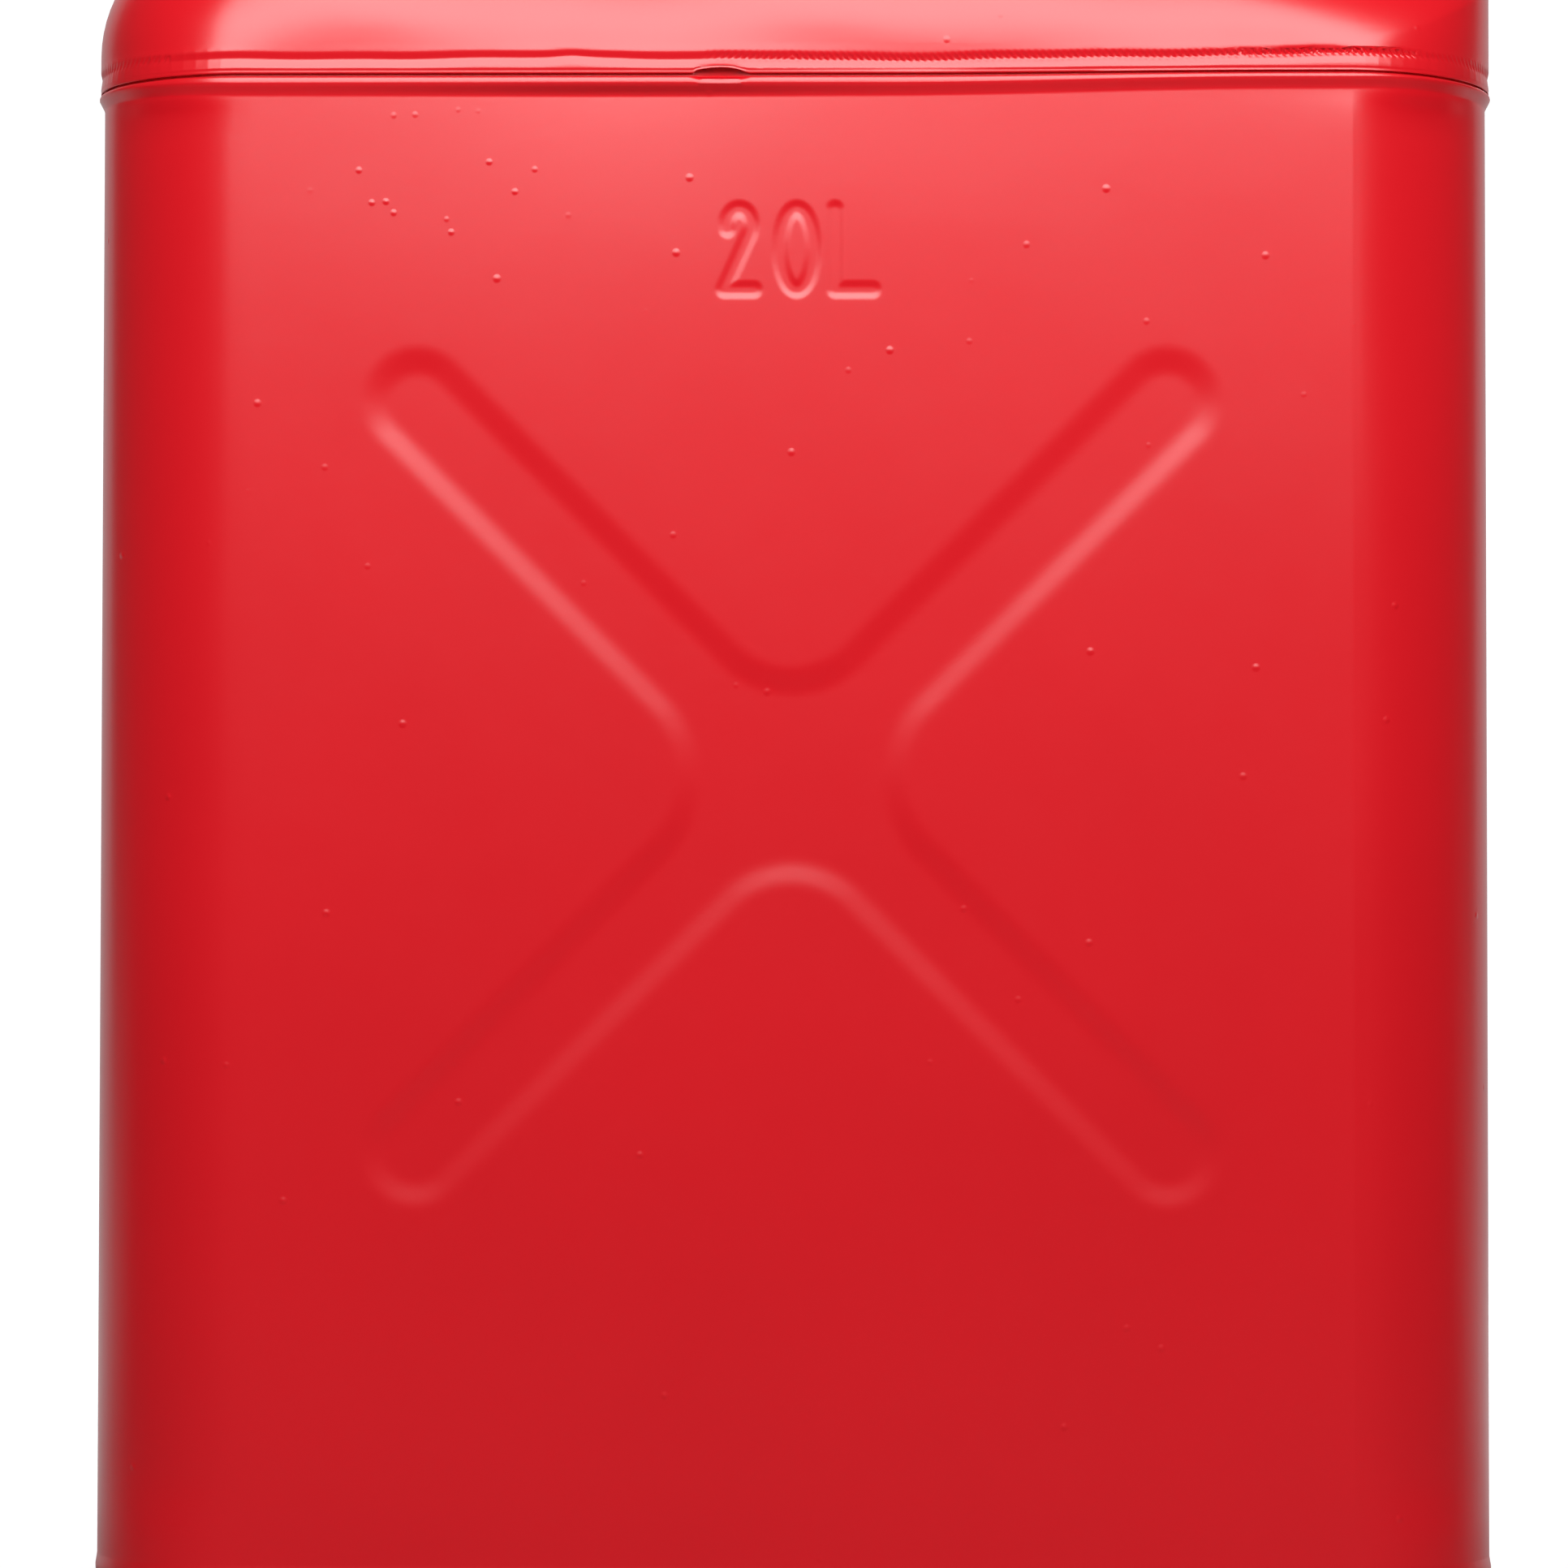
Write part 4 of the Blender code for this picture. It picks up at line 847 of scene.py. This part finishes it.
def press_pan(x, y, z):
    """Weld track of the bottom pan's skirt."""
    settings = bpy.context.scene.fuel_can
    radius = settings.body.corner_radius + SHEET
    _, _, nx, ny, run = plan_of(x, y, pan_high.x, pan_high.y, radius)
    edge = bottom_seam - z + settings.skirt.edge * (z > bottom_seam - 0.0003)
    out = track_offset(edge, run, x, nx, ny, settings.skirt) * (z > settings.pan.radius - 0.0001)
    out -= 0.0008 * smooth_rise((z - bottom_seam + 0.0065) / 0.005)
    return x + nx * out, y + ny * out, z


class FUEL_CAN_OT_pan(Operator):
    """Adds the bottom pan with its standing ring and raised panel"""
    bl_idname = "fuel_can.pan"
    bl_label = "Bottom pan"

    def execute(self, context):
        pan = context.scene.fuel_can.pan
        radius = context.scene.fuel_can.body.corner_radius + SHEET
        add_block(pan_high.x, pan_high.y, pan_low.z, pan_high.z)
        drop_faces(lambda at, normal: normal[2] > 0.5)
        round_uprights(radius, 18)
        round_off(lambda at, along: at[2] < pan_low.z + 1e-5, pan.radius, 8)
        pick("FACE", lambda at, normal: normal[2] < -0.9999)
        bpy.ops.mesh.inset(thickness=pan.ring, depth=0.0)
        for run, rise in ((0.25, 0.12), (0.5, 0.76), (0.25, 0.12)):
            bpy.ops.mesh.inset(thickness=pan.slope * run, depth=-pan.rise * rise)
        cut_flats(pan_high.x, pan_high.y, radius, COVER_CELL)
        cut(2, bottom_seam - TRACK_ROWS[TRACK_ROWS < bottom_seam - pan.radius])
        shorten_edges(bottom_seam - 0.0059, bottom_seam - 0.0014, 9)
        press_wall(press_pan, "enamelled_pan", "bottom_pan")
        return {"FINISHED"}


# Handles

# From one scale of a foot's weld bead to the next
WELD_RIPPLE = 0.0019
UP = Vector((0.0, 0.0, 1.0))


def bend_bar(low, high, y, handles):
    """Bar of one handle, bent from its section: up, round, along, round and down."""
    half = (high.y - low.y) / 2
    bend = handles.bend_radius
    clear_selection()
    bpy.ops.mesh.primitive_plane_add(size=1.0, location=(low.x + handles.depth / 2, y, low.z))
    bpy.ops.transform.resize(value=(handles.depth, 2 * half, 1.0))
    bpy.ops.object.transform_apply(location=True, rotation=False, scale=True)
    enter_edit()
    bpy.ops.mesh.delete(type="ONLY_FACE")
    open_side = low.x + handles.depth - 1e-5
    pick("EDGE", lambda at, along: at[0] > open_side)
    bpy.ops.mesh.delete(type="EDGE")
    for side in (-1, 1):
        pick("VERT", lambda at, normal: (at[0] > open_side) & (side * (at[1] - y) > half - 1e-5))
        extrude(0.0, -side * handles.lip, 0.0)
    round_off(lambda at, normal: at[0] < low.x + 1e-5, handles.edge_radius, 6, "VERT", "VERTICES")
    round_off(lambda at, normal: (at[0] > open_side) & (np.abs(at[1] - y) > half - 1e-5), handles.metal, 3,
              "VERT", "VERTICES")

    def spin(x):
        bpy.ops.mesh.spin(steps=14, angle=math.radians(-90.0), center=(x, y, high.z - bend), axis=(0.0, 1.0, 0.0))

    bpy.ops.mesh.select_all(action="SELECT")
    extrude(0.0, 0.0, high.z - bend - low.z)
    spin(low.x + bend)
    extrude(high.x - low.x - 2 * bend, 0.0, 0.0)
    spin(high.x - bend)
    extrude(0.0, 0.0, low.z - high.z + bend)
    close_up()
    faces = bpy.context.object.data.polygons
    if sum(face.normal.z for face in faces if face.center.z > high.z - 0.0001) < 0:
        enter_edit()
        bpy.ops.mesh.flip_normals()
        leave_edit()


def foot_outline(outer_x, inner_x, y, half, pitch):
    """Points on the crown round three sides of a handle's foot, a small pitch apart."""
    corners = [Vector((x, y + side * half, crown_level))
               for x, side in ((inner_x, -1), (outer_x, -1), (outer_x, 1), (inner_x, 1))]
    points = []
    for start, end in zip(corners, corners[1:]):
        count = int((end - start).length / pitch)
        points += [start.lerp(end, step / count) for step in range(count)]
    return points + [corners[-1]]


def sweep_bead(shape, path, radius):
    """Adds a rippled weld bead along points, as a half-sunk string of small scales."""
    turns = [2 * math.pi * step / 8 for step in range(8)]
    rings = []
    travelled = 0.0
    for index, point in enumerate(path):
        before = path[max(index - 1, 0)]
        run = (path[min(index + 1, len(path) - 1)] - before).normalized()
        travelled += (point - before).length
        side = Vector((run.y, -run.x, 0.0))
        ends = min(index, len(path) - 1 - index, 3) / 3
        swell = radius * (0.35 + 0.65 * ends) * (1 + 0.10 * math.cos(2 * math.pi * travelled / WELD_RIPPLE))
        rings.append([shape.verts.new(point + (side * math.cos(turn) + UP * math.sin(turn)) * swell)
                      for turn in turns])
    for first, second in zip(rings, rings[1:]):
        for step in range(8):
            after = (step + 1) % 8
            shape.faces.new((first[step], first[after], second[after], second[step]))
    shape.faces.new(rings[0])
    shape.faces.new(rings[-1])


class FUEL_CAN_OT_handles(Operator):
    """Adds the three carrying handles and the weld beads round their feet"""
    bl_idname = "fuel_can.handles"
    bl_label = "Handles"

    def execute(self, context):
        handles = context.scene.fuel_can.handles
        for name in ("handle_front", "handle_middle", "handle_rear"):
            low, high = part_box(name)
            y = (low.y + high.y) / 2
            bend_bar(low, high, y, handles)
            modify("SOLIDIFY", thickness=handles.metal, offset=-1.0)
            modify("BEVEL", width=0.0003, segments=2, limit_method="ANGLE", angle_limit=math.radians(50.0))
            settle(name + "_bar", [name])
            self.weld_feet(name, low, high, y, handles)
        return {"FINISHED"}

    def weld_feet(self, name, low, high, y, handles):
        """One bead round each foot."""
        shape = bmesh.new()
        for outer, inner in ((low.x, low.x + handles.depth), (high.x, high.x - handles.depth)):
            path = foot_outline(outer, inner, y, (high.y - low.y) / 2, WELD_RIPPLE / 6)
            sweep_bead(shape, path, handles.weld_radius)
        bmesh.ops.recalc_face_normals(shape, faces=shape.faces)
        mesh = bpy.data.meshes.new(name)
        shape.to_mesh(mesh)
        shape.free()
        add_piece(name, mesh)
        settle(name + "_welds", [], sharp=60.0)


# Pieces taken from the solids: turned again, or with their edges rounded

mouth_axis = mouth_turn.to_3x3() @ UP
across_axis = Vector((0.0, 1.0, 0.0))


def copy_of(node):
    """Copy of a solid's mesh as a new piece, with its loose triangles merged, in edit mode."""
    add_piece(node + "_copy", frame["nodes"][node].data.copy())
    enter_edit()
    bpy.ops.mesh.remove_doubles(threshold=0.00001)


def turn_again(node, name, body, slot="zinc_plate", place=None, axis=across_axis, rounding=0.0004, steps=40):
    """Turned piece with the profile of a solid, rounded and spun in many more steps.

    A piece that turns across the can has its axis in the middle of the solid, if no place is given.
    """
    if place is None:
        low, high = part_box(node)
        place = Vector(((low.x + high.x) / 2, 0.0, (low.z + high.z) / 2))
    start = mouth_turn.to_3x3() @ Vector((1.0, 0.0, 0.0))
    aside = axis.cross(start)

    def off_profile(at, normal):
        away = at - np.array(place)[:, None]
        return (np.abs(np.array(aside) @ away) > 0.00002) | (np.array(start) @ away < 0)

    copy_of(node)
    pick("VERT", off_profile)
    bpy.ops.mesh.delete(type="VERT")
    mesh = bpy.context.object.data
    shape = bmesh.from_edit_mesh(mesh)
    pick("VERT", lambda at, normal: [len(vertex.link_edges) == 2 for vertex in shape.verts])
    bpy.ops.mesh.bevel(offset=rounding, offset_type="OFFSET", segments=3, affect="VERTICES", clamp_overlap=True)
    shape = bmesh.from_edit_mesh(mesh)
    for end in [vertex for vertex in shape.verts if len(vertex.link_edges) == 1]:
        shape.edges.new((end, shape.verts.new(place + axis * axis.dot(end.co - place))))
    bmesh.update_edit_mesh(mesh)
    bpy.ops.mesh.select_all(action="SELECT")
    bpy.ops.mesh.spin(steps=steps, angle=math.radians(360.0), center=place, axis=axis)
    close_up()
    settle(name, [node], body, slot)


def soften(node, name, body, width=0.0005):
    """Enamelled copy of a solid made of sheet, with its flats made whole and its edges rounded."""
    copy_of(node)
    bpy.ops.mesh.dissolve_limited(angle_limit=math.radians(0.5))
    leave_edit()
    modify("BEVEL", width=width, segments=3, limit_method="ANGLE", angle_limit=math.radians(32.0))
    settle(name, [node], body)


class FUEL_CAN_OT_neck(Operator):
    """Adds the filler neck, the closure's bracket and what it carries, and gives the breather tube its zinc plate
    """
    bl_idname = "fuel_can.neck"
    bl_label = "Neck and bracket"

    def execute(self, context):
        turn_again("filler_neck", "rolled_neck", "can", "red_enamel", mouth_place, mouth_axis, 0.0005, 96)
        soften("closure_bracket", "pressed_bracket", "can")
        for stud in ("catch_stud_front", "catch_stud_rear"):
            turn_again(stud, stud + "_turned", "can")
        turn_again("lid_hinge_pin", "hinge_pin_turned", "can", place=hinge_place)
        tube_finishes = frame["nodes"]["breather_tube"].data.materials
        tube_finishes.clear()
        tube_finishes.append(finish_for("zinc_plate"))
        return {"FINISHED"}


class FUEL_CAN_OT_lid(Operator):
    """Adds the lid, its gasket, yoke, rivet and the lever's pin"""
    bl_idname = "fuel_can.lid"
    bl_label = "Lid and yoke"

    def execute(self, context):
        turn_again("lid_cap", "drawn_lid", "lid", "red_enamel", mouth_place, mouth_axis, 0.0005, 96)
        turn_again("lid_gasket", "lid_seal", "lid", "fuel_rubber", mouth_place, mouth_axis, steps=96)
        turn_again("lid_rivet", "rivet_turned", "lid", place=mouth_place, axis=mouth_axis)
        turn_again("lever_pin", "lever_pin_turned", "lid", place=pivot_place)
        soften("lid_yoke", "pressed_yoke", "lid")
        return {"FINISHED"}


class FUEL_CAN_OT_lever(Operator):
    """Adds the cam lever with its lock pin and the pin's guide"""
    bl_idname = "fuel_can.lever"
    bl_label = "Cam lever"

    def execute(self, context):
        soften("cam_lever", "bent_lever", "lever", 0.0006)
        turn_again("lock_pin_guide", "guide_turned", "lever", rounding=0.0003)
        turn_again("lock_pin", "lock_pin_turned", "lock_pin")
        return {"FINISHED"}


# Stage

def make_floor(stage):
    """Matt pale floor, white where it is looked at.

    Metal, enamel and glass mirror that white only behind the can, where the camera sees it too.
    """
    material = bpy.data.materials.new("pale_floor")
    floor = Finish(material)
    floor.tree.nodes.remove(floor.shader)
    looked_at, mirrored, through = [floor.node("LightPath", {}, output="Is " + kind + " Ray")
                                    for kind in ("Camera", "Glossy", "Transmission")]
    depth = floor.node("SeparateXYZ", {"Vector": floor.place()}, output="Y")
    behind, far, past = [floor.limited(depth, *band) for band in ((-0.2, 0.6), (0.3, 2.0), (-0.05, 0.25))]
    glanced = behind * stage.mirrored * mirrored.math("MAXIMUM", mirrored, through)
    seen = looked_at.math("MAXIMUM", looked_at, glanced)
    matt = floor.node("BsdfDiffuse", {"Color": floor.mixed(past, (*stage.floor, 1.0), (*stage.far_floor, 1.0))})
    glow = floor.node("Emission", {"Strength": seen * (far * (1 - stage.floor_glow) + stage.floor_glow)})
    both = floor.node("AddShader", {0: matt, 1: glow})
    floor.feed(floor.tree.nodes["Material Output"].inputs["Surface"], both)
    return material


def add_lamp(name, place, aim, size, radiance, mirrored=True):
    """Rectangular soft lamp that looks at a point, with its brightness as radiance."""
    clear_selection()
    bpy.ops.object.light_add(type="AREA", location=place)
    lamp = bpy.context.object
    lamp.name = name
    lamp.rotation_euler = (Vector(aim) - Vector(place)).to_track_quat("-Z", "Y").to_euler()
    lamp.data.shape = "RECTANGLE"
    lamp.data.size, lamp.data.size_y = size
    lamp.data.energy = radiance * math.pi * size[0] * size[1]
    lamp.visible_camera = False
    lamp.visible_glossy = mirrored


class FUEL_CAN_OT_stage(Operator):
    """Adds the floor, the backdrop, the lamps and the camera"""
    bl_idname = "fuel_can.stage"
    bl_label = "Stage"

    def execute(self, context):
        stage = context.scene.fuel_can.stage
        self.add_floor(stage)
        self.light_world(stage)
        add_lamp("key_lamp", (0.03, -0.86, 0.81), (0.0, -0.05, 0.36), (1.10, 0.44), 7.5)
        add_lamp("low_strip", (0.03, -0.95, 0.57), (0.0, -0.08, 0.36), (1.00, 0.06), 3.0)
        add_lamp("rear_lamp", (0.25, 1.20, 1.25), (0.0, 0.0, 0.25), (1.20, 0.80), 3.0)
        add_lamp("left_fill", (-1.2, 0.7, 0.35), (0.0, 0.0, 0.20), (0.80, 0.90), 0.6, mirrored=False)
        add_lamp("right_fill", (1.2, 0.7, 0.30), (0.0, 0.0, 0.15), (0.80, 0.90), 1.1, mirrored=False)
        clear_selection()
        bpy.ops.object.camera_add(location=stage.camera,
                                  rotation=(math.radians(90.0) + stage.pitch, stage.roll, stage.turn))
        camera = context.object
        camera.data.lens = stage.lens
        context.scene.camera = camera
        context.scene.view_settings.view_transform = "Standard"
        return {"FINISHED"}

    def add_floor(self, stage):
        """Floor that turns up into a backdrop behind the can."""
        clear_selection()
        bpy.ops.mesh.primitive_plane_add(size=9.0, location=(0.0, -1.2, pan_low.z))
        enter_edit()
        pick("EDGE", lambda at, along: at[1] > 4.0)
        extrude(0.0, 0.0, 5.0)
        round_off(lambda at, along: (at[1] > 4.0) & (np.abs(at[2]) < 0.01) & (np.abs(along[0]) > 0.9), 1.2, 12)
        leave_edit()
        floor = bpy.context.object
        floor.name = "floor_and_backdrop"
        bpy.ops.object.transform_apply(location=True, rotation=False, scale=False)
        bpy.ops.object.shade_smooth()
        floor.data.materials.append(make_floor(stage))

    def light_world(self, stage):
        """White where the camera looks past the floor, and an even fill for the rest."""
        world = bpy.data.worlds.new("studio")
        bpy.context.scene.world = world
        light = Finish(world, "Background")
        looked_at = light.node("LightPath", {}, output="Is Camera Ray")
        strength = light.node("MapRange", {"Value": looked_at, "To Min": stage.fill})
        light.set(Color=(1.0, 1.0, 1.0, 1.0), Strength=strength)


class FUEL_CAN_PT_panel(Panel):
    """Buttons that add the can's pieces"""
    bl_label = "Fuel can"
    bl_idname = "FUEL_CAN_PT_panel"
    bl_space_type = "VIEW_3D"
    bl_region_type = "UI"
    bl_category = "Fuel can"

    def draw(self, context):
        for operator in OPERATORS:
            self.layout.operator(operator.bl_idname)


GROUPS = (BodySettings, SkirtSettings, CoverSettings, PanSettings, HandleSettings, FinishSettings,
          StageSettings, CanSettings)
OPERATORS = (FUEL_CAN_OT_body, FUEL_CAN_OT_cover, FUEL_CAN_OT_pan, FUEL_CAN_OT_handles, FUEL_CAN_OT_neck,
             FUEL_CAN_OT_lid, FUEL_CAN_OT_lever, FUEL_CAN_OT_stage)
CLASSES = GROUPS + OPERATORS + (FUEL_CAN_PT_panel,)


def register():
    for cls in CLASSES:
        bpy.utils.register_class(cls)
    bpy.types.Scene.fuel_can = PointerProperty(type=CanSettings)


def unregister():
    del bpy.types.Scene.fuel_can
    for cls in reversed(CLASSES):
        bpy.utils.unregister_class(cls)


def main():
    """Builds every piece in order."""
    register()
    bpy.ops.fuel_can.body()
    bpy.ops.fuel_can.cover()
    bpy.ops.fuel_can.pan()
    bpy.ops.fuel_can.handles()
    bpy.ops.fuel_can.neck()
    bpy.ops.fuel_can.lid()
    bpy.ops.fuel_can.lever()
    bpy.ops.fuel_can.stage()


if __name__ == "__main__":
    main()
